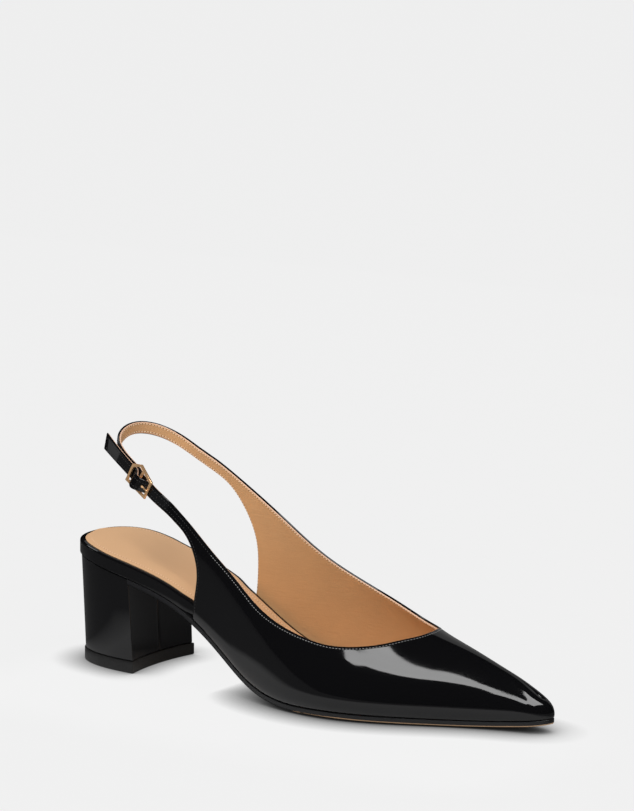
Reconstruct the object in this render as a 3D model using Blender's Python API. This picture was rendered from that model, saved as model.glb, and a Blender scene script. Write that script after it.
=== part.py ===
"""Right slingback pump with a pointed toe, a block heel and a buckled sling, as separate solids.

Frame: +X runs to the toe, +Y to the inner side of the foot (medial), +Z up, in metres.
The origin is the middle of the top piece's face on the floor, and the floor is z = 0.

The last is worked out from a few sizes and short tables. A station is a place along the shoe,
from the back of the seat (0) to the toe tip (SHOE_LENGTH). At each station a rib of the last
rises from the feather line, where the upper meets the sole, to the crown line. A place on a rib
is its turn: 0 at the feather line, 1 on the crown.
"""

import bmesh
import bpy
import math
import numpy as np

MM = 0.001

# Sizes of the last
SHOE_LENGTH = 245.0 * MM
BALL_WIDTH = 73.4 * MM
SEAT_WIDTH = 51.6 * MM
SEAT_HEIGHT = 51.2 * MM
INSTEP_RISE = 76.0 * MM
TOE_SPRING = 2.4 * MM
SEAT_ROUND = 28.0 * MM
TOE_ROUND = 9.0 * MM
TOE_DRIFT = 3.2 * MM
CROWN_SETBACK = 6.0 * MM
CROWN_BLEND = 34.0 * MM
TUCK = 2.6 * MM
TUCK_HEIGHT = 9.0 * MM

# Sizes of the pieces
GAP = 0.3 * MM
UPPER_WALL = 1.6 * MM
SOLE_EDGE = 2.3 * MM
BALL_LIFT = 1.1 * MM
BOARD_SEAT_THICKNESS = 6.3 * MM
BOARD_TOE_THICKNESS = 2.2 * MM
BOARD_SEAT_INSET = 0.2 * MM
BOARD_THINS_FROM = 0.42
BOARD_THINS_TO = 0.72
BOARD_NARROWS_BEHIND_WING = 10.0 * MM
BOARD_NARROWED_BEHIND_WING = 1.0 * MM
SOCK_THICKNESS = 1.2 * MM
SOCK_MARGIN = 2.4 * MM
TREAD_FLAT = 0.6
TREAD_FROM = 0.50
TREAD_FULL = 0.61
TREAD_LEAVES = 0.80
TREAD_TO = 0.92

# Sizes of the heel
HEEL_LENGTH = 39.0 * MM
HEEL_BACK = 0.8 * MM
HEEL_LATERAL = 22.4 * MM
HEEL_MEDIAL = 23.5 * MM
HEEL_TOP_LENGTH = 37.4 * MM
HEEL_TOP_INSET = 0.7 * MM
HEEL_ROUNDNESS = 2.35
BREAST_HOLLOW = 2.6 * MM
TOP_PIECE_THICKNESS = 5.4 * MM
TOP_PIECE_LIP = 0.5 * MM

# Sizes of the sling and its buckle
SLING_RISE = 58.0 * MM
STRAP_WIDTH = 6.2 * MM
TIP_SKEW = 4.0 * MM
FREE_TIP_RADIUS = 120.0 * MM
FREE_LEAN = 1.2 * MM
BUCKLE_FROM_WING = 23.4 * MM
FREE_END = 31.6 * MM
ARCH_LOW = 5.0 * MM
ARCH_TOP = 3.3 * MM
ARCH_REACH = 0.77
ARCH_POWER = 1.2
BACK_STRAP_PAST_BAR = 2.2 * MM
BAR_WIDTH = 1.2 * MM
BAR_THICKNESS = 1.2 * MM
BAR_BEVEL = 0.2 * MM
BUCKLE_HALF_LENGTH = 7.2 * MM
BUCKLE_POINT_MARGIN = 3.0 * MM
BUCKLE_POINT_BACK = 2.2 * MM
PRONG_ROOT = 0.5
PRONG_WIDTH = 1.0 * MM
PRONG_THICKNESS = 0.8 * MM
PRONG_TAPER = (1.0, 1.0, 0.9, 0.6)

# Steps of the meshes: columns run along a piece, rows across it
WING_STEPS = 11
VAMP_STEPS = 27
FREE_COUNTS = (11, 1, 12, 1, 9)
SLING_STEPS = 40
UPPER_ROWS = 9
SOLE_STEPS = 40
SOLE_ROWS = 8
BOARD_STEPS = 42
BOARD_ROWS = 6
SOCK_STEPS = 36
SOCK_ROWS = 4
HEEL_STEPS = 20
HEEL_ROWS = 8
HEEL_RINGS = (0.33, 0.67)

# How the upper's columns are shared out: the wing's share of the top line, how the vamp's columns
# crowd and fan at the toe, and the share of the rows that the toe's own edge takes
WING_SHARE_OF_TOP = 0.36
TIP_CROWDING = 1.7
FAN = 4
TOE_ROWS_SHARE = 0.34

# Rows of an edge table that the wing and the sling share at their joint
JOINT_ROWS = 3

# Fine steps for slopes, samples along a curve, and the distance at which points are one
SLOPE_STEP = 0.5 * MM
NORMAL_STEP = 0.05 * MM
EDGE_SAMPLES = 160
OUTLINE_SAMPLES = 400
WELD = 0.002 * MM
SLIVER = 0.001 * MM
SHARP_ANGLE = math.radians(35)

# Colours
PATENT = (0.012, 0.012, 0.013)
SOLE_BLACK = (0.02, 0.018, 0.017)
TOP_PIECE_BLACK = (0.01, 0.01, 0.01)
SOCK_TAN = (0.62, 0.40, 0.26)
ROSE_METAL = (0.72, 0.45, 0.32)

# The last, a row for each section. Half widths are shares of a width that goes over from the
# seat's to the ball's as "ball" goes from 0 to 1.
LAST_COLUMNS = ("along", "ball", "lateral", "medial")
LAST = (
    (0.114, 0.0, 0.500, 0.500),
    (0.203, 0.0, 0.478, 0.450),
    (0.285, 0.1, 0.464, 0.406),
    (0.366, 0.5, 0.440, 0.340),
    (0.447, 0.9, 0.446, 0.348),
    (0.528, 1.0, 0.490, 0.422),
    (0.610, 1.0, 0.510, 0.490),
    (0.699, 1.0, 0.444, 0.436),
    (0.793, 1.0, 0.294, 0.305),
    (0.874, 1.0, 0.163, 0.199),
    (0.943, 1.0, 0.082, 0.136),
    (1.000, 1.0, 0.041, 0.117),
)

# Height of the feather line: the pitch is a share of the seat's height, the lift a share of
# BALL_LIFT, by which the sole's edge clears the floor at the ball, and the spring of TOE_SPRING.
FEATHER_COLUMNS = ("along", "pitch", "lift", "spring")
FEATHER = (
    (0.000, 1.000, 0.0, 0.00),
    (0.057, 0.967, 0.0, 0.00),
    (0.114, 0.902, 0.0, 0.00),
    (0.203, 0.787, 0.0, 0.00),
    (0.285, 0.632, 0.0, 0.00),
    (0.366, 0.392, 0.0, 0.00),
    (0.447, 0.136, 0.2, 0.00),
    (0.528, 0.014, 0.8, 0.00),
    (0.610, 0.000, 1.0, 0.00),
    (0.699, 0.000, 0.9, 0.00),
    (0.793, 0.000, 0.6, 0.05),
    (0.874, 0.000, 0.3, 0.30),
    (0.943, 0.000, 0.0, 0.95),
    (1.000, 0.000, 0.0, 1.70),
)

# Crown line and shape of the ribs. The rise is a share of INSTEP_RISE, the drift of TOE_DRIFT,
# the tuck of TUCK, and a lower roundness gives a rib with a fuller shoulder.
CROWN_COLUMNS = ("along", "rise", "drift", "tuck", "roundness")
CROWN = (
    (0.163, 0.980, 0.00, 0.35, 0.62),
    (0.285, 0.990, 0.00, 0.45, 0.66),
    (0.407, 1.000, 0.15, 0.60, 0.72),
    (0.528, 0.870, 0.47, 0.85, 0.80),
    (0.630, 0.630, 0.78, 1.00, 0.88),
    (0.732, 0.446, 1.00, 1.00, 0.95),
    (0.813, 0.366, 1.06, 0.85, 1.00),
    (0.894, 0.270, 1.06, 0.70, 1.00),
    (0.943, 0.190, 1.03, 0.55, 1.00),
    (0.976, 0.110, 1.00, 0.20, 1.00),
)

# Top line and back edge of each wing, from the sling forwards and down, as places on the last
EDGE_COLUMNS = ("along", "turn")
LATERAL_TOP = (
    (0.263, 0.388), (0.302, 0.360), (0.354, 0.337), (0.409, 0.337), (0.470, 0.330),
    (0.539, 0.338), (0.578, 0.355), (0.627, 0.397), (0.669, 0.478), (0.701, 0.580),
    (0.727, 0.715), (0.745, 0.860), (0.750, 1.000),
)
LATERAL_BACK = (
    (0.253, 0.332), (0.281, 0.310), (0.306, 0.262), (0.318, 0.190), (0.314, 0.084),
    (0.310, 0.000),
)
MEDIAL_TOP = (
    (0.205, 0.552), (0.227, 0.543), (0.262, 0.524), (0.310, 0.506), (0.389, 0.502),
    (0.433, 0.494), (0.481, 0.478), (0.529, 0.470), (0.596, 0.476), (0.640, 0.500),
    (0.682, 0.560), (0.714, 0.660), (0.739, 0.810), (0.750, 1.000),
)
MEDIAL_BACK = (
    (0.200, 0.471), (0.223, 0.462), (0.264, 0.435), (0.284, 0.398), (0.305, 0.335),
    (0.318, 0.262), (0.320, 0.156), (0.314, 0.000),
)

# Top edge of the sling between the wings: out is a share of half the seat's width, to the
# medial side, and the rise above the feather line's back end is a share of SLING_RISE. Width is
# a share of STRAP_WIDTH, and lean is how far the lower edge stands further out, in strap widths.
SLING_COLUMNS = ("along", "out", "rise", "width", "lean")
SLING = (
    (0.138, 0.760, 0.918, 0.935, 0.00),
    (0.102, 0.600, 0.982, 0.935, 0.00),
    (0.079, 0.310, 1.008, 0.935, 0.00),
    (0.074, 0.000, 0.995, 0.935, 0.00),
    (0.082, -0.310, 0.952, 0.935, 0.00),
    (0.107, -0.580, 0.888, 0.96, 0.00),
    (0.145, -0.713, 0.797, 1, 0.00),
    (0.2055, -0.810, 0.6445, 0.98, 0.06),
    (0.2348, -0.849, 0.5595, 0.93, 0.13),
)

# Heights of the strap's two layers over the sling's own face at the buckle. The reach is the
# distance from the centre bar towards the toe, as a share of the buckle's half length, and the
# height is counted in strap walls and bars, less a share of the sling's bow under the buckle.
LAYER_COLUMNS = ("reach", "walls", "bars", "bow")
FREE_LAYER = (
    (-1.0, 1.0, 0.0, 0.0),
    (1.0, 1.0, 0.0, 0.0),
    (3.0, 0.0, 0.0, 0.0),
)
BACK_LAYER = (
    (-0.8, 0.0, 0.0, 0.0),
    (0.0, 1.0, 0.0, 1.0),
)


def column(table, names, name):
    """One named column of a table, as an array."""
    return np.array([row[names.index(name)] for row in table])


def spline(knots, values):
    """Natural cubic spline through values at knots, straight beyond its ends."""
    knots = np.asarray(knots, float)
    values = np.asarray(values, float).reshape(len(knots), -1)
    steps = np.diff(knots)
    slopes = np.diff(values, axis=0) / steps[:, None]
    system = np.eye(len(knots))
    right = np.zeros_like(values)
    for i in range(1, len(knots) - 1):
        system[i, i - 1:i + 2] = steps[i - 1], 2 * (steps[i - 1] + steps[i]), steps[i]
        right[i] = 6 * (slopes[i] - slopes[i - 1])
    bends = np.linalg.solve(system, right)

    def curve(at):
        at = np.asarray(at, float)
        inside = np.clip(at, knots[0], knots[-1])
        i = np.clip(np.searchsorted(knots, inside) - 1, 0, len(steps) - 1)
        step = steps[i][..., None]
        b = ((inside - knots[i]) / steps[i])[..., None]
        a = 1 - b
        bend = ((a ** 3 - a) * bends[i] + (b ** 3 - b) * bends[i + 1]) * step ** 2 / 6
        slope = slopes[i] + step * ((1 - 3 * a ** 2) * bends[i] + (3 * b ** 2 - 1) * bends[i + 1]) / 6
        value = a * values[i] + b * values[i + 1] + bend + slope * (at - inside)[..., None]
        return value[..., 0] if value.shape[-1] == 1 else value

    return curve


def table_spline(table, names, name):
    """Spline of one column along the shoe."""
    return spline(column(table, names, "along") * SHOE_LENGTH, column(table, names, name))


def ease(share):
    """Smooth step from 0 to 1."""
    share = np.clip(share, 0, 1)
    return share * share * (3 - 2 * share)


SHARE_OF_BALL = table_spline(LAST, LAST_COLUMNS, "ball")
HALF_WIDTHS = {side: table_spline(LAST, LAST_COLUMNS, name)
               for side, name in ((-1, "lateral"), (1, "medial"))}
PITCH, LIFT, SPRING = (table_spline(FEATHER, FEATHER_COLUMNS, name)
                       for name in ("pitch", "lift", "spring"))
RISE, DRIFT, TUCKED, ROUNDNESS = (table_spline(CROWN, CROWN_COLUMNS, name)
                                  for name in ("rise", "drift", "tuck", "roundness"))


def feather_height(station):
    """Height of the sole's upper face, on which board, upper and heel meet."""
    climb = (SEAT_HEIGHT - SOLE_EDGE) * PITCH(station)
    return SOLE_EDGE + np.maximum(climb, 0) + BALL_LIFT * LIFT(station) + TOE_SPRING * SPRING(station)


def body_width(station, side):
    """Half width of the outline before its two ends are rounded."""
    ball = np.clip(SHARE_OF_BALL(station), 0, 1)
    return HALF_WIDTHS[side](station) * (SEAT_WIDTH + (BALL_WIDTH - SEAT_WIDTH) * ball)


def half_width(station, side, inset=0.0):
    """Half width of the outline, set in all round, with its rounded seat and toe."""
    station = np.asarray(station, float)
    straight = np.clip(station, SEAT_ROUND, SHOE_LENGTH)
    ahead, behind = body_width(straight + SLOPE_STEP, side), body_width(straight - SLOPE_STEP, side)
    slope = (ahead - behind) / (2 * SLOPE_STEP)
    width = body_width(straight, side) - inset * np.sqrt(1 + slope ** 2)
    back = np.clip((station - inset) / (SEAT_ROUND - np.min(inset)), 0, 1)
    width = width * np.clip(1 - (1 - back) ** HEEL_ROUNDNESS, 0, 1) ** (1 / HEEL_ROUNDNESS)
    front = np.clip((toe_end(inset) - station) / TOE_ROUND, 0, 1)
    tip = side * TOE_DRIFT
    return tip + (width - tip) * np.sqrt(1 - (1 - front) ** 2)


def toe_end(inset=0.0):
    """Station of the outline's front end, set in."""
    return SHOE_LENGTH - inset


def crown_station(station):
    """Station at which a rib reaches the crown line: the toe's ribs lean back to it."""
    lean = np.clip((station - SHOE_LENGTH + CROWN_BLEND) / CROWN_BLEND, 0, 1)
    return station - CROWN_SETBACK * lean ** 2


def last_point(station, turn, side):
    """Point of the upper's outer face, in the shoe's own stations."""
    station, turn = np.broadcast_arrays(np.asarray(station, float), np.asarray(turn, float))
    angle = np.clip(turn, 0, 1) * math.pi / 2
    foot = np.stack([station, side * half_width(station, side), feather_height(station)], -1)
    top = crown_station(station)
    base = feather_height(top)
    crown = np.stack([top, TOE_DRIFT * DRIFT(top), base + INSTEP_RISE * RISE(top)], -1)
    behind = np.minimum(station, SHOE_LENGTH - NORMAL_STEP) - NORMAL_STEP
    slope = (half_width(behind + NORMAL_STEP, side) - half_width(behind, side)) / NORMAL_STEP
    outward = np.stack([-slope, side * np.ones_like(slope)], -1)
    outward /= np.linalg.norm(outward, axis=-1, keepdims=True)
    tuck = TUCK * TUCKED(top)[..., None] * outward
    across = (np.clip(np.cos(angle), 0, 1) ** ROUNDNESS(top))[..., None]
    height = foot[..., 2] + (crown[..., 2] - foot[..., 2]) * np.sin(angle)
    under = (1 - np.clip((height - foot[..., 2]) / TUCK_HEIGHT, 0, 1)) ** 3
    plan = crown[..., :2] + (foot[..., :2] + tuck - crown[..., :2]) * across
    plan = plan - tuck * under[..., None]
    return np.concatenate([plan, height[..., None] + GAP], -1)


def lengths(points):
    """Length along a line of points, from 0."""
    return np.concatenate([[0], np.cumsum(np.linalg.norm(np.diff(points, axis=0), axis=-1))])


def edge_places(table):
    """Places of an edge table on the last, as (station, turn)."""
    along = column(table, EDGE_COLUMNS, "along")
    return np.stack([along * SHOE_LENGTH, column(table, EDGE_COLUMNS, "turn")], -1)


def edge_curve(table, side):
    """Curve of an edge on the last, by share of its length, as (station, turn)."""
    places = edge_places(table)
    rough = spline(lengths(last_point(places[:, 0], places[:, 1], side)), places)
    total = lengths(last_point(places[:, 0], places[:, 1], side))[-1]
    fine = rough(np.linspace(0, total, EDGE_SAMPLES))
    shares = lengths(last_point(fine[:, 0], np.clip(fine[:, 1], 0, 1), side))
    shares = shares / shares[-1]

    def curve(share):
        return np.stack([np.interp(share, shares, fine[:, k]) for k in (0, 1)], -1)

    return curve


TOPS = {-1: edge_curve(LATERAL_TOP, -1), 1: edge_curve(MEDIAL_TOP, 1)}
BACKS = {-1: edge_curve(LATERAL_BACK, -1), 1: edge_curve(MEDIAL_BACK, 1)}


def wing_strips(side, wing_columns, vamp_columns):
    """Places on the last of the lower and upper end of each strip, and how far it fans."""
    wing = np.linspace(0, 1, wing_columns + 1)[:-1]
    vamp = np.linspace(0, 1, vamp_columns + 1)
    crowded = 1 - (1 - vamp) ** TIP_CROWDING
    foot = BACKS[side](1.0)[0]
    fine = SHOE_LENGTH - (SHOE_LENGTH - foot) * np.linspace(1, 0, OUTLINE_SAMPLES) ** 2
    outline = lengths(np.stack([fine, side * half_width(fine, side)], -1))
    stations = np.interp(crowded * outline[-1], outline, fine)
    feather = np.stack([stations, np.zeros_like(stations)], -1)
    lower = np.concatenate([BACKS[side](wing), feather])
    vamp_top = WING_SHARE_OF_TOP + (1 - WING_SHARE_OF_TOP) * vamp
    top = np.concatenate([WING_SHARE_OF_TOP * wing, vamp_top])
    fan = np.concatenate([np.zeros_like(wing), vamp ** FAN])
    return lower, TOPS[side](top), fan


def wing_grid(side, wing_columns, vamp_columns, rows):
    """Outer face of one half of the vamp with its wing: columns from the sling to the toe."""
    lower, upper, fan = wing_strips(side, wing_columns, vamp_columns)
    rise = np.linspace(0, 1, rows + 1)
    straight = lower[:, None] + (upper - lower)[:, None] * rise[None, :, None]
    ridge = np.stack([
        np.interp(rise, (0, TOE_ROWS_SHARE, 1), (SHOE_LENGTH, SHOE_LENGTH, upper[-1, 0])),
        np.interp(rise, (0, TOE_ROWS_SHARE, 1), (0, 1, 1)),
    ], -1)
    places = straight + fan[:, None, None] * (ridge - straight[-1])[None]
    return last_point(places[..., 0], places[..., 1], side)


def sling_edges():
    """Curves of the sling's upper and lower edge by the length along it, and its two joints."""
    uppers = {side: last_point(*edge_places(rows[:JOINT_ROWS]).T, side)
              for side, rows in ((-1, LATERAL_TOP), (1, MEDIAL_TOP))}
    lowers = {side: last_point(*edge_places(rows[:JOINT_ROWS]).T, side)
              for side, rows in ((-1, LATERAL_BACK), (1, MEDIAL_BACK))}
    table = np.stack([
        column(SLING, SLING_COLUMNS, "along") * SHOE_LENGTH,
        column(SLING, SLING_COLUMNS, "out") * SEAT_WIDTH / 2,
        column(SLING, SLING_COLUMNS, "rise") * SLING_RISE + SEAT_HEIGHT,
    ], -1)
    upper = np.concatenate([uppers[1][::-1], table, uppers[-1]])
    run = np.gradient(upper, axis=0)[JOINT_ROWS:-JOINT_ROWS]
    run /= np.linalg.norm(run, axis=-1, keepdims=True)
    across = np.array((0, 0, 1.0)) - run * run[:, 2:]
    across /= np.linalg.norm(across, axis=-1, keepdims=True)
    lean = column(SLING, SLING_COLUMNS, "lean")[:, None] * np.cross(run, across)
    under = table + STRAP_WIDTH * column(SLING, SLING_COLUMNS, "width")[:, None] * (lean - across)
    lower = np.concatenate([lowers[1][::-1], under, lowers[-1]])
    knots = lengths((upper + lower) / 2)
    return spline(knots, upper), spline(knots, lower), knots[JOINT_ROWS - 1], knots[-JOINT_ROWS]


SLING_UPPER, SLING_LOWER, SLING_START, SLING_END = sling_edges()
BUCKLE_PLACE = SLING_END - BUCKLE_FROM_WING


def layer_height(table, place):
    """Height of a strap layer's outer face over the sling's own face, near the buckle."""
    reach = column(table, LAYER_COLUMNS, "reach") * BUCKLE_HALF_LENGTH
    height = column(table, LAYER_COLUMNS, "walls") * (UPPER_WALL + GAP)
    height = height + column(table, LAYER_COLUMNS, "bars") * (BAR_THICKNESS + GAP)
    height = height - column(table, LAYER_COLUMNS, "bow") * sling_bow()
    forward = np.clip(np.asarray(place, float) - BUCKLE_PLACE, reach[0], reach[-1])
    row = np.clip(np.searchsorted(reach, forward) - 1, 0, len(reach) - 2)
    share = ease((forward - reach[row]) / (reach[row + 1] - reach[row]))
    return height[row] + (height[row + 1] - height[row]) * share


def sling_bow():
    """How far the sling bows out from the chord between the buckle's two ends."""
    places = BUCKLE_PLACE + BUCKLE_HALF_LENGTH * np.array((-1, 0, 1))
    middle, run, across, outward = sling_frame(places)
    return np.dot(middle[1] - (middle[0] + middle[2]) / 2, outward[1])


def sling_frame(place):
    """Middle, direction to the toe, across (up) and outward of the sling at a place."""
    upper, lower = SLING_UPPER(place), SLING_LOWER(place)
    ahead = SLING_UPPER(place + SLOPE_STEP) + SLING_LOWER(place + SLOPE_STEP)
    behind = SLING_UPPER(place - SLOPE_STEP) + SLING_LOWER(place - SLOPE_STEP)
    run = ahead - behind
    run /= np.linalg.norm(run, axis=-1, keepdims=True)
    across = upper - lower
    across = across - run * np.sum(across * run, -1, keepdims=True)
    across /= np.linalg.norm(across, axis=-1, keepdims=True)
    return (upper + lower) / 2, run, across, np.cross(run, across)


def sling_grid(places, heights, rows):
    """Outer face of a strap layer over the sling, columns along places."""
    share = np.linspace(0, 1, rows + 1)[None, :, None]
    upper, lower = SLING_UPPER(places)[:, None], SLING_LOWER(places)[:, None]
    outward = sling_frame(places)[3][:, None]
    return lower + (upper - lower) * share + outward * heights[..., None]


def arch_height(place, rise):
    """How far the free strap arches out over the buckle's centre bar, most at its lower edge."""
    share = (np.asarray(place, float) - BUCKLE_PLACE) / (ARCH_REACH * BUCKLE_HALF_LENGTH)
    arch = np.cos(math.pi / 2 * np.clip(share, -1, 1)).clip(0) ** ARCH_POWER
    return arch * (ARCH_LOW + (ARCH_TOP - ARCH_LOW) * rise)


def free_places(counts):
    """Places of the free strap's columns, so many to each stretch between its tip and the wing."""
    arch = ARCH_REACH * BUCKLE_HALF_LENGTH
    ends = (-FREE_END, -BUCKLE_HALF_LENGTH, -arch, arch, BUCKLE_HALF_LENGTH, BUCKLE_FROM_WING)
    runs = [np.linspace(a, b, n, endpoint=False) for a, b, n in zip(ends, ends[1:], counts)]
    return BUCKLE_PLACE + np.concatenate(runs)


def free_strap_grid(counts, rows):
    """Outer face of the lateral wing's strap, from its free tip, in a plain arc, to the wing."""
    rear = BUCKLE_PLACE - BUCKLE_HALF_LENGTH
    places = free_places(counts)
    held = np.maximum(places, rear)
    share = np.linspace(0, 1, rows + 1)
    heights = layer_height(FREE_LAYER, held)[:, None]
    heights = heights + arch_height(held[:, None], share)
    grid = sling_grid(held, heights, rows)
    past = (rear - places) / (FREE_END - BUCKLE_HALF_LENGTH)
    skew = TIP_SKEW * np.maximum(past, 0)[:, None] * (1 - share)
    reach = np.maximum(rear - places, 0)[:, None] - skew
    middle, run, across, outward = sling_frame(np.array([rear]))
    turn = (reach / FREE_TIP_RADIUS)[..., None]
    lean = FREE_LEAN * ((np.maximum(past, 0) ** 2)[:, None] * (1 - share))[..., None] * outward
    return grid + lean - FREE_TIP_RADIUS * (run * np.sin(turn) + outward * (1 - np.cos(turn)))


def back_strap_grid(columns, rows):
    """Outer face of the medial wing's strap, from the wing round the heel to the buckle."""
    places = np.linspace(SLING_START, BUCKLE_PLACE + BACK_STRAP_PAST_BAR, columns + 1)[1:]
    heights = layer_height(BACK_LAYER, places)[:, None]
    return sling_grid(places, heights, rows)


def upper_face(free_counts, wing_columns, vamp_columns, sling_columns, rows):
    """The whole outer face of the upper as one grid, from the free tip to the back strap's end."""
    lateral = wing_grid(-1, wing_columns, vamp_columns, rows)
    medial = wing_grid(1, wing_columns, vamp_columns, rows)[:-1][::-1]
    return np.concatenate([
        free_strap_grid(free_counts, rows), lateral, medial,
        back_strap_grid(sling_columns, rows),
    ])


def grid_normals(grid):
    """Unit normals of a grid, outward for a face whose rows rise and whose columns run forward."""
    along = np.gradient(grid, axis=0)
    up = np.gradient(grid, axis=1)
    normals = np.cross(along, up)
    return normals / np.linalg.norm(normals, axis=-1, keepdims=True)


def placed(points):
    """Points in the shoe's stations moved to the frame at the heel's middle."""
    return points - np.array((HEEL_BACK + HEEL_LENGTH / 2, 0, 0))


def solid(name, faces_of, colour, roughness, metallic=0.0):
    """Object from a bmesh, welded, with outward faces and its own material."""
    mesh_data = bmesh.new()
    faces_of(mesh_data)
    bmesh.ops.remove_doubles(mesh_data, verts=mesh_data.verts, dist=WELD)
    bmesh.ops.dissolve_degenerate(mesh_data, edges=mesh_data.edges, dist=SLIVER)
    bmesh.ops.recalc_face_normals(mesh_data, faces=mesh_data.faces)
    mesh = bpy.data.meshes.new(name)
    mesh_data.to_mesh(mesh)
    mesh_data.free()
    mesh.shade_smooth()
    mesh.set_sharp_from_angle(angle=SHARP_ANGLE)
    material = bpy.data.materials.new(name)
    material.use_nodes = True
    surface = material.node_tree.nodes["Principled BSDF"]
    surface.inputs["Base Color"].default_value = (*colour, 1)
    surface.inputs["Roughness"].default_value = roughness
    surface.inputs["Metallic"].default_value = metallic
    mesh.materials.append(material)
    thing = bpy.data.objects.new(name, mesh)
    bpy.context.scene.collection.objects.link(thing)
    return thing


def border(grid):
    """The outer points of a grid, once round."""
    return np.concatenate([grid[:-1, 0], grid[-1, :-1], grid[:0:-1, -1], grid[0, :0:-1]])


def slab(upper, lower, rings=()):
    """Faces between two grids of one shape, their sides passing through the rings between."""
    def faces_of(mesh_data):
        for grid in (upper, lower):
            verts = [[mesh_data.verts.new(point) for point in line] for line in placed(grid)]
            for a, b in zip(verts, verts[1:]):
                for i in range(len(a) - 1):
                    mesh_data.faces.new((a[i], a[i + 1], b[i + 1], b[i]))
        loops = [border(upper), *rings, border(lower)]
        loops = [[mesh_data.verts.new(point) for point in placed(loop)] for loop in loops]
        for a, b in zip(loops, loops[1:]):
            for i in range(len(a)):
                j = (i + 1) % len(a)
                mesh_data.faces.new((a[i], a[j], b[j], b[i]))
    return faces_of


def rounded_stations(start, end, count):
    """Stations from start to end, closer together at the rounded ends."""
    share = np.linspace(-1, 1, count + 1)
    spread = (np.sin(share * math.pi / 2) + share) / 2
    return start + (end - start) * (spread + 1) / 2


def plan_grid(stations, rows, lateral, medial):
    """Stations, places out and shares of the half width, for a grid across an outline."""
    share = np.linspace(-1, 1, rows + 1)[None]
    left, right = -lateral[:, None], medial[:, None]
    out = (left + right) / 2 + (right - left) / 2 * share
    return np.broadcast_to(stations[:, None], out.shape), out, np.broadcast_to(share, out.shape)


def board_thickness(station):
    """Thickness of the insole board, thinner under the vamp."""
    thin = ease((station / SHOE_LENGTH - BOARD_THINS_FROM) / (BOARD_THINS_TO - BOARD_THINS_FROM))
    return BOARD_SEAT_THICKNESS + (BOARD_TOE_THICKNESS - BOARD_SEAT_THICKNESS) * thin


def board_inset(station, side):
    """Inset of the board's edge: flush at the seat, inside the wings further on."""
    foot = BACKS[side](1.0)[0]
    run = BOARD_NARROWS_BEHIND_WING - BOARD_NARROWED_BEHIND_WING
    inside = ease((station - foot + BOARD_NARROWS_BEHIND_WING) / run)
    return BOARD_SEAT_INSET + (UPPER_WALL + GAP - BOARD_SEAT_INSET) * inside


def tread(station):
    """How far the sole's belly comes down to the floor at a station, 0 to 1."""
    along = station / SHOE_LENGTH
    comes = ease((along - TREAD_FROM) / (TREAD_FULL - TREAD_FROM))
    goes = ease((along - TREAD_LEAVES) / (TREAD_TO - TREAD_LEAVES))
    return comes * (1 - goes)


def outsole():
    """Thin outsole from the heel's breast to the toe, its belly flat on the floor at the ball."""
    start = HEEL_BACK + HEEL_TOP_LENGTH + GAP
    stations = rounded_stations(start, SHOE_LENGTH, SOLE_STEPS)
    halves = [half_width(stations, side) for side in (-1, 1)]
    x, y, share = plan_grid(stations, SOLE_ROWS, *halves)
    top = feather_height(x)
    edge = top - SOLE_EDGE
    belly = tread(x) * (1 - ease((np.abs(share) - TREAD_FLAT) / (1 - TREAD_FLAT)))
    upper = np.stack([x, y, top], -1)
    lower = np.stack([x, y, edge * (1 - belly)], -1)
    return solid("outsole", slab(upper, lower), SOLE_BLACK, 0.35)


def insole_board():
    """Insole board, thick at the seat, where its edge shows as a band over the heel."""
    stations = rounded_stations(BOARD_SEAT_INSET, toe_end(UPPER_WALL + GAP), BOARD_STEPS)
    halves = [half_width(stations, side, board_inset(stations, side)) for side in (-1, 1)]
    x, y, share = plan_grid(stations, BOARD_ROWS, *halves)
    base = feather_height(x) + GAP
    upper = np.stack([x, y, base + board_thickness(x)], -1)
    lower = np.stack([x, y, base], -1)
    return solid("insole_board", slab(upper, lower), PATENT, 0.2)


def sock():
    """Thin sock over the board, set in from its edge."""
    start = BOARD_SEAT_INSET + SOCK_MARGIN
    stations = rounded_stations(start, toe_end(UPPER_WALL + GAP + 2 * SOCK_MARGIN), SOCK_STEPS)
    halves = [half_width(stations, side, board_inset(stations, side) + SOCK_MARGIN)
              for side in (-1, 1)]
    x, y, share = plan_grid(stations, SOCK_ROWS, *halves)
    base = feather_height(x) + board_thickness(x) + 2 * GAP
    upper = np.stack([x, y, base + SOCK_THICKNESS], -1)
    lower = np.stack([x, y, base], -1)
    return solid("sock", slab(upper, lower), SOCK_TAN, 0.6)


def heel_shares():
    """Shares of the heel's length at which its stations lie, closer at its rounded back."""
    return (1 - np.cos(np.linspace(0, math.pi, HEEL_STEPS + 1))) / 2


def heel_outline(share, lip=0.0):
    """Stations and half widths of the heel's foot, by share of its length, widened by a lip."""
    stations = HEEL_BACK - lip + (HEEL_LENGTH + 2 * lip) * share
    full = np.clip(1 - (1 - share) ** HEEL_ROUNDNESS, 0, 1) ** (1 / HEEL_ROUNDNESS)
    return stations, (HEEL_LATERAL + lip) * full, (HEEL_MEDIAL + lip) * full


def hollowed(x, share_along, share_across):
    """Stations drawn back by the hollow of the heel's breast."""
    return x - BREAST_HOLLOW * share_along ** 4 * (1 - share_across ** 2)


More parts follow.
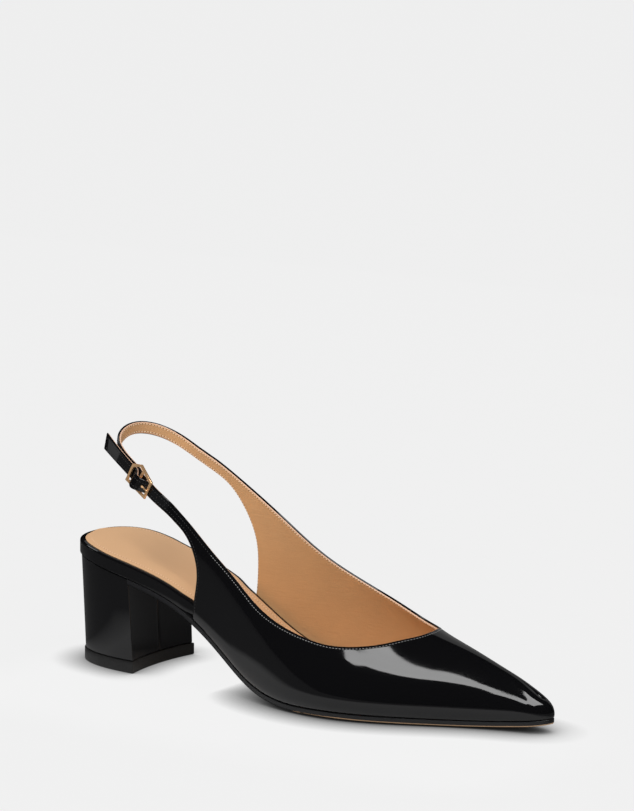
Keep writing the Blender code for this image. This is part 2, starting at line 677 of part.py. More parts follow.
def heel_block():
    """Heel from the board's underside to the top piece, its breast slightly hollow."""
    share = heel_shares()
    back = BOARD_SEAT_INSET + HEEL_TOP_INSET
    stations = back + (HEEL_BACK + HEEL_TOP_LENGTH - back) * share
    halves = [half_width(stations, side, HEEL_TOP_INSET + BOARD_SEAT_INSET) for side in (-1, 1)]
    x, y, w = plan_grid(stations, HEEL_ROWS, *halves)
    x = hollowed(x, share[:, None], w)
    upper = np.stack([x, y, feather_height(x)], -1)
    stations, lateral, medial = heel_outline(share)
    x, y, w = plan_grid(stations, HEEL_ROWS, lateral, medial)
    x = hollowed(x, share[:, None], w)
    lower = np.stack([x, y, np.full_like(x, TOP_PIECE_THICKNESS + GAP)], -1)
    rings = [border(upper) * (1 - k) + border(lower) * k for k in HEEL_RINGS]
    return solid("heel_block", slab(upper, lower, rings), PATENT, 0.2)


def top_piece():
    """Top piece on the heel's foot, a lip wider all round, flat on the floor."""
    share = heel_shares()
    stations, lateral, medial = heel_outline(share, TOP_PIECE_LIP)
    x, y, w = plan_grid(stations, HEEL_ROWS, lateral, medial)
    x = hollowed(x, share[:, None], w)
    upper = np.stack([x, y, np.full_like(x, TOP_PIECE_THICKNESS)], -1)
    lower = np.stack([x, y, np.zeros_like(x)], -1)
    return solid("top_piece", slab(upper, lower), TOP_PIECE_BLACK, 0.5)


def upper():
    """The upper: vamp, both wings, back strap and free strap, one hollow wall."""
    outer = upper_face(FREE_COUNTS, WING_STEPS, VAMP_STEPS, SLING_STEPS, UPPER_ROWS)
    inner = outer - UPPER_WALL * grid_normals(outer)
    return solid("upper", slab(outer, inner), PATENT, 0.12)


def buckle_plane():
    """Middle of the buckle over the free strap, its direction to the toe, up and outward."""
    places = np.array((BUCKLE_PLACE - BUCKLE_HALF_LENGTH, BUCKLE_PLACE + BUCKLE_HALF_LENGTH))
    middle, run, across, outward = sling_frame(places)
    lift = UPPER_WALL + 2 * GAP + BAR_THICKNESS / 2
    ends = middle + outward * lift
    run = ends[1] - ends[0]
    run = run / np.linalg.norm(run)
    across = across.mean(axis=0)
    across = across - run * np.dot(across, run)
    across = across / np.linalg.norm(across)
    return ends.mean(axis=0), run, across, np.cross(run, across)


def buckle_outline(margin):
    """Corners of the frame, pointed above, set in by a margin, from the rear upper one round."""
    length = BUCKLE_HALF_LENGTH - margin
    side = STRAP_WIDTH / 2 + GAP + BAR_WIDTH - margin
    point = side + BUCKLE_POINT_MARGIN
    return np.array(((-length, side), (-BUCKLE_POINT_BACK, point), (length, side),
                     (length, -side), (0, -side), (-length, -side)))


def buckle_reach(margin, along=0.0):
    """How far up and down the frame reaches at a place along it, set in by a margin."""
    corners = buckle_outline(margin)
    return np.interp(along, corners[1:3, 0], corners[1:3, 1]), corners[4, 1]


def in_plane(points, height, plane):
    """Points given along and across the buckle, at a height over its middle plane."""
    middle, run, across, outward = plane
    points = np.asarray(points, float)
    return middle + points[:, :1] * run + points[:, 1:] * across + height * outward


def buckle_frame():
    """Pointed frame with a bar across its middle, its edges bevelled."""
    outer = buckle_outline(0)
    inner = buckle_outline(BAR_WIDTH)
    half = BAR_WIDTH / 2
    corners = [inner[0], inner[5], inner[2], inner[3]]
    bar = [(x, y) for x in (-half, half) for y in buckle_reach(BAR_WIDTH, x)]
    flat = np.array([*outer, *corners, *bar, inner[1]])
    quads = ((0, 6, 14, 1), (1, 14, 10, 12, 8, 2), (2, 8, 9, 3), (3, 9, 13, 4), (4, 11, 7, 5),
             (5, 7, 6, 0), (10, 11, 13, 12), (4, 13, 11))
    rings = ((0, 1, 2, 3, 4, 5), (6, 14, 10, 11, 7), (8, 12, 13, 9))
    plane = buckle_plane()

    def faces_of(mesh_data):
        top = [mesh_data.verts.new(p) for p in placed(in_plane(flat, BAR_THICKNESS / 2, plane))]
        low = [mesh_data.verts.new(p) for p in placed(in_plane(flat, -BAR_THICKNESS / 2, plane))]
        for quad in quads:
            mesh_data.faces.new([top[i] for i in quad])
            mesh_data.faces.new([low[i] for i in reversed(quad)])
        sharp = []
        for ring in rings:
            for a, b in zip(ring, ring[1:] + ring[:1]):
                mesh_data.faces.new((top[a], top[b], low[b], low[a]))
                sharp += [mesh_data.edges.get((level[a], level[b])) for level in (top, low)]
        bmesh.ops.recalc_face_normals(mesh_data, faces=mesh_data.faces)
        bmesh.ops.bevel(mesh_data, geom=sharp, offset=BAR_BEVEL, segments=1, affect="EDGES")

    return solid("buckle_frame", faces_of, ROSE_METAL, 0.25, 1.0)


def strap_under_prong(forward):
    """Height of the free strap's outer face over the buckle's middle plane."""
    middle, run, across, outward = buckle_plane()
    place = np.array([BUCKLE_PLACE + forward])
    base, _, _, normal = sling_frame(place)
    point = base[0] + normal[0] * (layer_height(FREE_LAYER, place) + arch_height(place, 0.5))[0]
    return np.dot(point - middle, outward)


def buckle_prong():
    """Prong from the strap's hole to the frame's front bar, on which its tip rests."""
    plane = buckle_plane()
    root = PRONG_ROOT * BUCKLE_HALF_LENGTH
    low = strap_under_prong(root) + 2 * GAP
    outside = BAR_THICKNESS / 2 + GAP
    stations = np.array((root, root + PRONG_WIDTH, BUCKLE_HALF_LENGTH - BAR_WIDTH, BUCKLE_HALF_LENGTH))
    under = np.array((low, low, outside, outside))
    halves = PRONG_WIDTH / 2 * np.array(PRONG_TAPER)
    grids = []
    for over in (PRONG_THICKNESS, 0):
        lines = []
        for x, z, half in zip(stations, under, halves):
            lines.append(in_plane([(x, -half), (x, half)], z + over, plane))
        grids.append(np.array(lines))
    return solid("buckle_prong", slab(*grids), ROSE_METAL, 0.25, 1.0)


def main():
    """Build the shoe."""
    for thing in list(bpy.data.objects):
        bpy.data.objects.remove(thing)
    outsole()
    insole_board()
    sock()
    heel_block()
    top_piece()
    upper()
    buckle_frame()
    buckle_prong()


main()
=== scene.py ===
"""Slingback pump: the visual model of a right shoe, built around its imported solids.

Frame: +X to the toe, +Y to the inner side of the foot, +Z up, in metres, origin on the floor under
the heel. A station is a place along the shoe from the back of the seat to the toe tip, and a turn a
place on a rib of the last, 0 at the feather line over the sole and 1 on the crown.
"""
import math

import bmesh
import bpy
import numpy as np
from bpy.props import FloatProperty, FloatVectorProperty, PointerProperty
from mathutils import Matrix, Vector


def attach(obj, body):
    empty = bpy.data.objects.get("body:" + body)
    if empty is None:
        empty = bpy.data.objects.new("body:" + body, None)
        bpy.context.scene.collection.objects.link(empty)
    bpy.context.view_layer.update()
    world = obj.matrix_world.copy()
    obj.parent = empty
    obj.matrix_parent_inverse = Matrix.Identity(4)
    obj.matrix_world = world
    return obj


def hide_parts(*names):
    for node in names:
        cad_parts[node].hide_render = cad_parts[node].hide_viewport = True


bl_info = {
    "name": "Slingback pump",
    "version": (1, 0, 0),
    "blender": (4, 5, 0),
    "location": "View3D > Sidebar > Pump",
    "description": "Builds a patent slingback pump with a block heel, its buckle and stitches",
    "category": "Object",
}

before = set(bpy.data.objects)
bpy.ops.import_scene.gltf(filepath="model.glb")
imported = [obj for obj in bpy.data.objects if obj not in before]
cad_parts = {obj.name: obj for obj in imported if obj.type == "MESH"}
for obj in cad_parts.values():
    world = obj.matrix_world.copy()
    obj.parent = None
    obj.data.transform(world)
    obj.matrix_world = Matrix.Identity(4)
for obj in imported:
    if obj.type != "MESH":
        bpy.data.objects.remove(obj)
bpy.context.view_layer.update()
BODY = "root"
MM = 0.001

# Sizes of the last and of the pieces, the same as those of the solids
SHOE_LENGTH = 245.0 * MM
BALL_WIDTH = 73.4 * MM
SEAT_WIDTH = 51.6 * MM
SEAT_HEIGHT = 51.2 * MM
INSTEP_RISE = 76.0 * MM
TOE_SPRING = 2.4 * MM
SEAT_ROUND = 28.0 * MM
TOE_ROUND = 9.0 * MM
TOE_DRIFT = 3.2 * MM
CROWN_SETBACK = 6.0 * MM
CROWN_BLEND = 34.0 * MM
TUCK = 2.6 * MM
TUCK_HEIGHT = 9.0 * MM
GAP = 0.3 * MM
UPPER_WALL = 1.6 * MM
SOLE_EDGE = 2.3 * MM
BALL_LIFT = 1.1 * MM
BOARD_SEAT_THICKNESS = 6.3 * MM
BOARD_TOE_THICKNESS = 2.2 * MM
BOARD_SEAT_INSET = 0.2 * MM
BOARD_THINS_FROM = 0.42
BOARD_THINS_TO = 0.72
BOARD_NARROWS_BEHIND_WING = 10.0 * MM
BOARD_NARROWED_BEHIND_WING = 1.0 * MM
SOCK_MARGIN = 2.4 * MM
TREAD_FLAT = 0.6
TREAD_FROM = 0.50
TREAD_FULL = 0.61
TREAD_LEAVES = 0.80
TREAD_TO = 0.92
TAN_FROM = 0.56
TAN_FULL = 0.66
TAN_RISE = 0.5 * MM
PAINT_GAP = 0.02 * MM
SOLE_ROUND = 0.45 * MM
SOLE_CHAMFER = 0.2 * MM
SOLE_COLUMNS = 221
SOLE_ROWS = 29
HEEL_LENGTH = 39.0 * MM
HEEL_BACK = 0.8 * MM
HEEL_LATERAL = 22.4 * MM
HEEL_MEDIAL = 23.5 * MM
HEEL_TOP_LENGTH = 37.4 * MM
HEEL_TOP_INSET = 0.7 * MM
HEEL_ROUNDNESS = 2.35
BREAST_HOLLOW = 2.6 * MM
TOP_PIECE_THICKNESS = 5.4 * MM
TOP_PIECE_LIP = 0.5 * MM
SLING_RISE = 58.0 * MM
STRAP_WIDTH = 6.2 * MM
TIP_SKEW = 4.0 * MM
FREE_TIP_RADIUS = 120.0 * MM
FREE_LEAN = 1.2 * MM
BUCKLE_FROM_WING = 23.4 * MM
FREE_END = 31.6 * MM
ARCH_LOW = 5.0 * MM
ARCH_TOP = 3.3 * MM
ARCH_REACH = 0.77
ARCH_POWER = 1.2
BACK_STRAP_PAST_BAR = 2.2 * MM
BAR_WIDTH = 1.2 * MM
BAR_THICKNESS = 1.2 * MM
BUCKLE_HALF_LENGTH = 7.2 * MM
BUCKLE_POINT_MARGIN = 3.0 * MM
BUCKLE_POINT_BACK = 2.2 * MM
PRONG_ROOT = 0.5
WING_SHARE_OF_TOP = 0.36
TIP_CROWDING = 1.7
FAN = 4
TOE_ROWS_SHARE = 0.34
JOINT_ROWS = 3
SLOPE_STEP = 0.5 * MM
NORMAL_STEP = 0.05 * MM
EDGE_SAMPLES = 160
OUTLINE_SAMPLES = 400


def table(names, *rows):
    """The columns of a table by their names."""
    return dict(zip(names.split(), np.array(rows, float).T))


# The last: half widths are shares of a width that goes from the seat's to the ball's with "ball"
LAST = table(
    "along ball lateral medial",
    (0.114, 0.0, 0.500, 0.500), (0.203, 0.0, 0.478, 0.450), (0.285, 0.1, 0.464, 0.406),
    (0.366, 0.5, 0.440, 0.340), (0.447, 0.9, 0.446, 0.348), (0.528, 1.0, 0.490, 0.422),
    (0.610, 1.0, 0.510, 0.490), (0.699, 1.0, 0.444, 0.436), (0.793, 1.0, 0.294, 0.305),
    (0.874, 1.0, 0.163, 0.199), (0.943, 1.0, 0.082, 0.136), (1.000, 1.0, 0.041, 0.117))

# Height of the feather line, as shares of the seat's height, BALL_LIFT and TOE_SPRING
FEATHER = table(
    "along pitch lift spring",
    (0.000, 1.000, 0.0, 0.00), (0.057, 0.967, 0.0, 0.00), (0.114, 0.902, 0.0, 0.00),
    (0.203, 0.787, 0.0, 0.00), (0.285, 0.632, 0.0, 0.00), (0.366, 0.392, 0.0, 0.00),
    (0.447, 0.136, 0.2, 0.00), (0.528, 0.014, 0.8, 0.00), (0.610, 0.000, 1.0, 0.00),
    (0.699, 0.000, 0.9, 0.00), (0.793, 0.000, 0.6, 0.05), (0.874, 0.000, 0.3, 0.30),
    (0.943, 0.000, 0.0, 0.95), (1.000, 0.000, 0.0, 1.70))

# Crown line and shape of the ribs, as shares of INSTEP_RISE, TOE_DRIFT and TUCK
CROWN = table(
    "along rise drift tuck roundness",
    (0.163, 0.980, 0.00, 0.35, 0.62), (0.285, 0.990, 0.00, 0.45, 0.66),
    (0.407, 1.000, 0.15, 0.60, 0.72), (0.528, 0.870, 0.47, 0.85, 0.80),
    (0.630, 0.630, 0.78, 1.00, 0.88), (0.732, 0.446, 1.00, 1.00, 0.95),
    (0.813, 0.366, 1.06, 0.85, 1.00), (0.894, 0.270, 1.06, 0.70, 1.00),
    (0.943, 0.190, 1.03, 0.55, 1.00), (0.976, 0.110, 1.00, 0.20, 1.00))

# Top line and back edge of each wing, by side, from the sling forwards and down, as places on the
# last: station, as a share of the length, and turn
TOP_LINES = {
    -1: np.array((
        (0.263, 0.388), (0.302, 0.360), (0.354, 0.337), (0.409, 0.337), (0.470, 0.330),
        (0.539, 0.338), (0.578, 0.355), (0.627, 0.397), (0.669, 0.478), (0.701, 0.580),
        (0.727, 0.715), (0.745, 0.860), (0.750, 1.000))) * (SHOE_LENGTH, 1),
    1: np.array((
        (0.205, 0.552), (0.227, 0.543), (0.262, 0.524), (0.310, 0.506), (0.389, 0.502),
        (0.433, 0.494), (0.481, 0.478), (0.529, 0.470), (0.596, 0.476), (0.640, 0.500),
        (0.682, 0.560), (0.714, 0.660), (0.739, 0.810), (0.750, 1.000))) * (SHOE_LENGTH, 1),
}
BACK_LINES = {
    -1: np.array((
        (0.253, 0.332), (0.281, 0.310), (0.306, 0.262), (0.318, 0.190), (0.314, 0.084),
        (0.310, 0.000))) * (SHOE_LENGTH, 1),
    1: np.array((
        (0.200, 0.471), (0.223, 0.462), (0.264, 0.435), (0.284, 0.398), (0.305, 0.335),
        (0.318, 0.262), (0.320, 0.156), (0.314, 0.000))) * (SHOE_LENGTH, 1),
}

# Top edge of the sling between the wings: out in halves of the seat's width, rise in SLING_RISE,
# width in STRAP_WIDTH, and lean, the lower edge's standing further out, in strap widths
SLING = table(
    "along out rise width lean",
    (0.138, 0.760, 0.918, 0.935, 0.00), (0.102, 0.600, 0.982, 0.935, 0.00),
    (0.079, 0.310, 1.008, 0.935, 0.00), (0.074, 0.000, 0.995, 0.935, 0.00),
    (0.082, -0.310, 0.952, 0.935, 0.00), (0.107, -0.580, 0.888, 0.96, 0.00),
    (0.145, -0.713, 0.797, 1, 0.00), (0.2055, -0.810, 0.6445, 0.98, 0.06),
    (0.2348, -0.849, 0.5595, 0.93, 0.13))

# Heights of the strap's two layers at the buckle, over a reach in its half lengths, in walls
# and in bows of the sling
FREE_LAYER = table("reach walls bow", (-1, 1, 0), (1, 1, 0), (3, 0, 0))
BACK_LAYER = table("reach walls bow", (-0.8, 0, 0), (0, 1, 1))


def unit(vectors):
    """Vectors brought to length 1."""
    return vectors / np.linalg.norm(vectors, axis=-1, keepdims=True)


def spline(knots, values):
    """Natural cubic spline through values at knots, straight beyond its ends."""
    knots = np.asarray(knots, float)
    values = np.asarray(values, float).reshape(len(knots), -1)
    steps = np.diff(knots)
    slopes = np.diff(values, axis=0) / steps[:, None]
    system = np.eye(len(knots))
    right = np.zeros_like(values)
    for i in range(1, len(knots) - 1):
        system[i, i - 1:i + 2] = steps[i - 1], 2 * (steps[i - 1] + steps[i]), steps[i]
        right[i] = 6 * (slopes[i] - slopes[i - 1])
    bends = np.linalg.solve(system, right)

    def curve(at):
        at = np.asarray(at, float)
        inside = np.clip(at, knots[0], knots[-1])
        i = np.clip(np.searchsorted(knots, inside) - 1, 0, len(steps) - 1)
        step = steps[i][..., None]
        b = ((inside - knots[i]) / steps[i])[..., None]
        a = 1 - b
        bend = ((a ** 3 - a) * bends[i] + (b ** 3 - b) * bends[i + 1]) * step ** 2 / 6
        slope = slopes[i] + step * ((1 - 3 * a ** 2) * bends[i] + (3 * b ** 2 - 1) * bends[i + 1]) / 6
        value = a * values[i] + b * values[i + 1] + bend + slope * (at - inside)[..., None]
        return value[..., 0] if value.shape[-1] == 1 else value

    return curve


def along_shoe(rows, name):
    """Spline of one column of a table along the shoe."""
    return spline(rows["along"] * SHOE_LENGTH, rows[name])


def ease(share):
    """Smooth step from 0 to 1."""
    share = np.clip(share, 0, 1)
    return share * share * (3 - 2 * share)


SHARE_OF_BALL = along_shoe(LAST, "ball")
HALF_WIDTHS = {-1: along_shoe(LAST, "lateral"), 1: along_shoe(LAST, "medial")}
PITCH, LIFT, SPRING = (along_shoe(FEATHER, name) for name in ("pitch", "lift", "spring"))
RISE, DRIFT, TUCKED, ROUNDNESS = (
    along_shoe(CROWN, name) for name in ("rise", "drift", "tuck", "roundness"))


def feather_height(station):
    """Height of the sole's upper face, on which board, upper and heel meet."""
    climb = (SEAT_HEIGHT - SOLE_EDGE) * PITCH(station)
    return SOLE_EDGE + np.maximum(climb, 0) + BALL_LIFT * LIFT(station) + TOE_SPRING * SPRING(station)


def body_width(station, side):
    """Half width of the outline before its two ends are rounded."""
    ball = np.clip(SHARE_OF_BALL(station), 0, 1)
    return HALF_WIDTHS[side](station) * (SEAT_WIDTH + (BALL_WIDTH - SEAT_WIDTH) * ball)


def half_width(station, side, inset=0.0):
    """Half width of the outline, set in all round, with its rounded seat and toe."""
    station = np.asarray(station, float)
    straight = np.clip(station, SEAT_ROUND, SHOE_LENGTH)
    ahead, behind = body_width(straight + SLOPE_STEP, side), body_width(straight - SLOPE_STEP, side)
    slope = (ahead - behind) / (2 * SLOPE_STEP)
    width = body_width(straight, side) - inset * np.sqrt(1 + slope ** 2)
    back = np.clip((station - inset) / (SEAT_ROUND - np.min(inset)), 0, 1)
    width = width * np.clip(1 - (1 - back) ** HEEL_ROUNDNESS, 0, 1) ** (1 / HEEL_ROUNDNESS)
    front = np.clip((SHOE_LENGTH - inset - station) / TOE_ROUND, 0, 1)
    tip = side * TOE_DRIFT
    return tip + (width - tip) * np.sqrt(1 - (1 - front) ** 2)


def crown_station(station):
    """Station at which a rib reaches the crown line: the toe's ribs lean back to it."""
    lean = np.clip((station - SHOE_LENGTH + CROWN_BLEND) / CROWN_BLEND, 0, 1)
    return station - CROWN_SETBACK * lean ** 2


def last_point(station, turn, side):
    """Point of the upper's outer face, in the shoe's own stations."""
    station, turn = np.broadcast_arrays(np.asarray(station, float), np.asarray(turn, float))
    angle = np.clip(turn, 0, 1) * math.pi / 2
    foot = np.stack([station, side * half_width(station, side), feather_height(station)], -1)
    top = crown_station(station)
    base = feather_height(top)
    crown = np.stack([top, TOE_DRIFT * DRIFT(top), base + INSTEP_RISE * RISE(top)], -1)
    behind = np.minimum(station, SHOE_LENGTH - NORMAL_STEP) - NORMAL_STEP
    slope = (half_width(behind + NORMAL_STEP, side) - half_width(behind, side)) / NORMAL_STEP
    outward = unit(np.stack([-slope, side * np.ones_like(slope)], -1))
    tuck = TUCK * TUCKED(top)[..., None] * outward
    across = (np.clip(np.cos(angle), 0, 1) ** ROUNDNESS(top))[..., None]
    height = foot[..., 2] + (crown[..., 2] - foot[..., 2]) * np.sin(angle)
    under = (1 - np.clip((height - foot[..., 2]) / TUCK_HEIGHT, 0, 1)) ** 3
    plan = crown[..., :2] + (foot[..., :2] + tuck - crown[..., :2]) * across
    plan = plan - tuck * under[..., None]
    return np.concatenate([plan, height[..., None] + GAP], -1)


def lengths(points):
    """Length along a line of points, from 0."""
    return np.concatenate([[0], np.cumsum(np.linalg.norm(np.diff(points, axis=0), axis=-1))])


def edge_curve(places, side):
    """Curve of an edge on the last, by share of its length, as (station, turn)."""
    knots = lengths(last_point(*places.T, side))
    rough = spline(knots, places)
    fine = np.linspace(0, knots[-1], EDGE_SAMPLES)
    at = rough(fine)
    shares = lengths(last_point(at[:, 0], np.clip(at[:, 1], 0, 1), side))
    shares = shares / shares[-1]
    return lambda share: rough(np.interp(share, shares, fine))


TOPS = {side: edge_curve(places, side) for side, places in TOP_LINES.items()}
BACKS = {side: edge_curve(places, side) for side, places in BACK_LINES.items()}


def wing_strips(side, wing_columns, vamp_columns):
    """Places on the last of the lower and upper end of each strip, and how far it fans."""
    wing = np.linspace(0, 1, wing_columns + 1)[:-1]
    vamp = np.linspace(0, 1, vamp_columns + 1)
    crowded = 1 - (1 - vamp) ** TIP_CROWDING
    foot = BACKS[side](1.0)[0]
    fine = SHOE_LENGTH - (SHOE_LENGTH - foot) * np.linspace(1, 0, OUTLINE_SAMPLES) ** 2
    outline = lengths(np.stack([fine, side * half_width(fine, side)], -1))
    stations = np.interp(crowded * outline[-1], outline, fine)
    feather = np.stack([stations, np.zeros_like(stations)], -1)
    lower = np.concatenate([BACKS[side](wing), feather])
    vamp_top = WING_SHARE_OF_TOP + (1 - WING_SHARE_OF_TOP) * vamp
    top = np.concatenate([WING_SHARE_OF_TOP * wing, vamp_top])
    fan = np.concatenate([np.zeros_like(wing), vamp ** FAN])
    return lower, TOPS[side](top), fan


def wing_grid(side, wing_columns, vamp_columns, rise):
    """Outer face of one half of the vamp with its wing, rise[column, row] from foot to top."""
    lower, upper, fan = wing_strips(side, wing_columns, vamp_columns)
    rise = np.broadcast_to(rise, (len(lower), rise.shape[-1]))
    straight = lower[:, None] + (upper - lower)[:, None] * rise[..., None]
    ridge = np.stack([
        np.interp(rise, (0, TOE_ROWS_SHARE, 1), (SHOE_LENGTH, SHOE_LENGTH, upper[-1, 0])),
        np.interp(rise, (0, TOE_ROWS_SHARE, 1), (0, 1, 1)),
    ], -1)
    last = lower[-1] + (upper[-1] - lower[-1]) * rise[..., None]
    places = straight + fan[:, None, None] * (ridge - last)
    return last_point(places[..., 0], places[..., 1], side)


def sling_edges():
    """Curves of the sling's upper and lower edge by the length along it, and its two joints."""
    uppers, lowers = (
        {side: last_point(*places[:JOINT_ROWS].T, side) for side, places in lines.items()}
        for lines in (TOP_LINES, BACK_LINES))
    edge = np.stack([SLING["along"] * SHOE_LENGTH, SLING["out"] * SEAT_WIDTH / 2,
                     SLING["rise"] * SLING_RISE + SEAT_HEIGHT], -1)
    upper = np.concatenate([uppers[1][::-1], edge, uppers[-1]])
    run = unit(np.gradient(upper, axis=0)[JOINT_ROWS:-JOINT_ROWS])
    across = unit(np.array((0, 0, 1.0)) - run * run[:, 2:])
    lean = SLING["lean"][:, None] * np.cross(run, across)
    under = edge + STRAP_WIDTH * SLING["width"][:, None] * (lean - across)
    lower = np.concatenate([lowers[1][::-1], under, lowers[-1]])
    knots = lengths((upper + lower) / 2)
    return spline(knots, upper), spline(knots, lower), knots[JOINT_ROWS - 1], knots[-JOINT_ROWS]


SLING_UPPER, SLING_LOWER, SLING_START, SLING_END = sling_edges()
BUCKLE_PLACE = SLING_END - BUCKLE_FROM_WING


def sling_frame(place):
    """Middle, direction to the toe, across (up) and outward of the sling at a place."""
    upper, lower = SLING_UPPER(place), SLING_LOWER(place)
    ahead = SLING_UPPER(place + SLOPE_STEP) + SLING_LOWER(place + SLOPE_STEP)
    behind = SLING_UPPER(place - SLOPE_STEP) + SLING_LOWER(place - SLOPE_STEP)
    run = unit(ahead - behind)
    across = upper - lower
    across = unit(across - run * np.sum(across * run, -1, keepdims=True))
    return (upper + lower) / 2, run, across, np.cross(run, across)


def sling_bow():
    """How far the sling bows out from the chord between the buckle's two ends."""
    places = BUCKLE_PLACE + BUCKLE_HALF_LENGTH * np.array((-1, 0, 1))
    middle, run, across, outward = sling_frame(places)
    return np.dot(middle[1] - (middle[0] + middle[2]) / 2, outward[1])


def layer_height(layer, place):
    """Height of a strap layer's outer face over the sling's own face, near the buckle."""
    reach = layer["reach"] * BUCKLE_HALF_LENGTH
    height = layer["walls"] * (UPPER_WALL + GAP) - layer["bow"] * sling_bow()
    forward = np.clip(np.asarray(place, float) - BUCKLE_PLACE, reach[0], reach[-1])
    row = np.clip(np.searchsorted(reach, forward) - 1, 0, len(reach) - 2)
    share = ease((forward - reach[row]) / (reach[row + 1] - reach[row]))
    return height[row] + (height[row + 1] - height[row]) * share


def sling_grid(places, heights, rise):
    """Outer face of a strap layer over the sling, columns along places."""
    upper, lower = SLING_UPPER(places)[:, None], SLING_LOWER(places)[:, None]
    outward = sling_frame(places)[3][:, None]
    return lower + (upper - lower) * rise[..., None] + outward * heights[..., None]


def arch_height(place, rise):
    """How far the free strap arches out over the buckle's centre bar, most at its lower edge."""
    share = (np.asarray(place, float) - BUCKLE_PLACE) / (ARCH_REACH * BUCKLE_HALF_LENGTH)
    arch = np.cos(math.pi / 2 * np.clip(share, -1, 1)).clip(0) ** ARCH_POWER
    return arch * (ARCH_LOW + (ARCH_TOP - ARCH_LOW) * rise)


def free_places(counts):
    """Places of the free strap's columns, so many to each stretch between its tip and the wing."""
    arch = ARCH_REACH * BUCKLE_HALF_LENGTH
    ends = (-FREE_END, -BUCKLE_HALF_LENGTH, -arch, arch, BUCKLE_HALF_LENGTH, BUCKLE_FROM_WING)
    runs = [np.linspace(a, b, n, endpoint=False) for a, b, n in zip(ends, ends[1:], counts)]
    return BUCKLE_PLACE + np.concatenate(runs)


def free_strap_grid(counts, rise):
    """Outer face of the lateral wing's strap, from its free tip, in a plain arc, to the wing."""
    rear = BUCKLE_PLACE - BUCKLE_HALF_LENGTH
    places = free_places(counts)
    rise = np.broadcast_to(rise, (len(places), rise.shape[-1]))
    held = np.maximum(places, rear)
    heights = layer_height(FREE_LAYER, held)[:, None]
    heights = heights + arch_height(held[:, None], rise)
    grid = sling_grid(held, heights, rise)
    past = (rear - places) / (FREE_END - BUCKLE_HALF_LENGTH)
    skew = TIP_SKEW * np.maximum(past, 0)[:, None] * (1 - rise)
    reach = np.maximum(rear - places, 0)[:, None] - skew
    middle, run, across, outward = sling_frame(np.array([rear]))
    turn = (reach / FREE_TIP_RADIUS)[..., None]
    lean = FREE_LEAN * ((np.maximum(past, 0) ** 2)[:, None] * (1 - rise))[..., None] * outward
    return grid + lean - FREE_TIP_RADIUS * (run * np.sin(turn) + outward * (1 - np.cos(turn)))


def back_strap_grid(columns, rise):
    """Outer face of the medial wing's strap, from the wing round the heel to the buckle."""
    places = np.linspace(SLING_START, BUCKLE_PLACE + BACK_STRAP_PAST_BAR, columns + 1)[1:]
    rise = np.broadcast_to(rise, (columns, rise.shape[-1]))
    return sling_grid(places, layer_height(BACK_LAYER, places)[:, None], rise)


# Columns of the upper's dense grid, from the free tip to the back strap's end
FREE_COUNTS = (36, 4, 40, 4, 30)
FREE_STEPS = sum(FREE_COUNTS)
WING_STEPS = 44
VAMP_STEPS = 150
SLING_STEPS = 170
JOINT_REACH = 8
COLUMNS = FREE_STEPS + 2 * (WING_STEPS + VAMP_STEPS) + 1 + SLING_STEPS


def upper_face(rise):
    """The whole outer face of the upper as one grid; rise is 0 at the lower edge, 1 at the upper."""
    rise = np.broadcast_to(rise, (COLUMNS, rise.shape[-1]))
    a, b = FREE_STEPS, FREE_STEPS + WING_STEPS + VAMP_STEPS + 1
    c = b + WING_STEPS + VAMP_STEPS
    medial = np.concatenate([rise[b - 1:b], rise[b:c]])[::-1]
    grid = np.concatenate([
        free_strap_grid(FREE_COUNTS, rise[:a]),
        wing_grid(-1, WING_STEPS, VAMP_STEPS, rise[a:b]),
        wing_grid(1, WING_STEPS, VAMP_STEPS, medial)[:-1][::-1],
        back_strap_grid(SLING_STEPS, rise[c:]),
    ])
    smooth = grid.copy()
    for joint in (a, c):
        for step in range(-JOINT_REACH + 1, JOINT_REACH):
            k, reach = joint + step, JOINT_REACH - abs(step)
            smooth[k] = grid[k - reach:k + reach + 1].mean(axis=0)
    return smooth


def grid_normals(grid):
    """Unit normals of a grid, outward for rows that rise and columns that run forward."""
    return unit(np.cross(np.gradient(grid, axis=0), np.gradient(grid, axis=1)))


def placed(points):
    """Points in the shoe's stations moved to the frame at the heel's middle."""
    return np.asarray(points) - np.array((HEEL_BACK + HEEL_LENGTH / 2, 0, 0))


# Rows and probes of the upper's wall
OUTER_ROWS = 40
INNER_ROWS = 16
RIM_STEPS = 5
EDGE_PROBE = 0.02
LINE_PROBE = 0.01


def edge_slopes():
    """Length of the outer face to a share of its rise, at its lower and at its upper edge."""
    ends = upper_face(np.array([0.0, EDGE_PROBE, 1 - EDGE_PROBE, 1.0]))
    return [np.linalg.norm(ends[:, k + 1] - ends[:, k], axis=-1) / EDGE_PROBE for k in (0, 2)]


def wall_loop(start, end, low_edge, top_edge):
    """Sections of one layer of the upper's wall as closed loops, its two edges rounded.

    The layer lies from start to end under the outer face, and its edges are set in from the
    upper's own by low_edge and top_edge.
    """
    radius = (end - start) / 2
    low_slope, top_slope = edge_slopes()
    low = ((low_edge + radius) / low_slope)[:, None]
    top = 1 - ((top_edge + radius) / top_slope)[:, None]
    outer = upper_face(low + (top - low) * np.linspace(0, 1, OUTER_ROWS)[None])
    normals = grid_normals(outer)
    ups = unit(np.gradient(outer, axis=1))
    picks = np.round(np.linspace(OUTER_ROWS - 1, 0, INNER_ROWS)).astype(int)

    def rim(row, way):
        centre = outer[:, row] - (start + radius) * normals[:, row]
        for angle in np.linspace(0, math.pi, RIM_STEPS + 2)[1:-1]:
            spoke = math.cos(angle) * normals[:, row] + math.sin(angle) * ups[:, row]
            yield (centre + way * radius * spoke)[:, None]

    strip = [outer - start * normals, *rim(-1, 1), (outer - end * normals)[:, picks]]
    strip += [*rim(0, -1), (outer - start * normals)[:, :1]]
    return placed(np.concatenate(strip, axis=1))


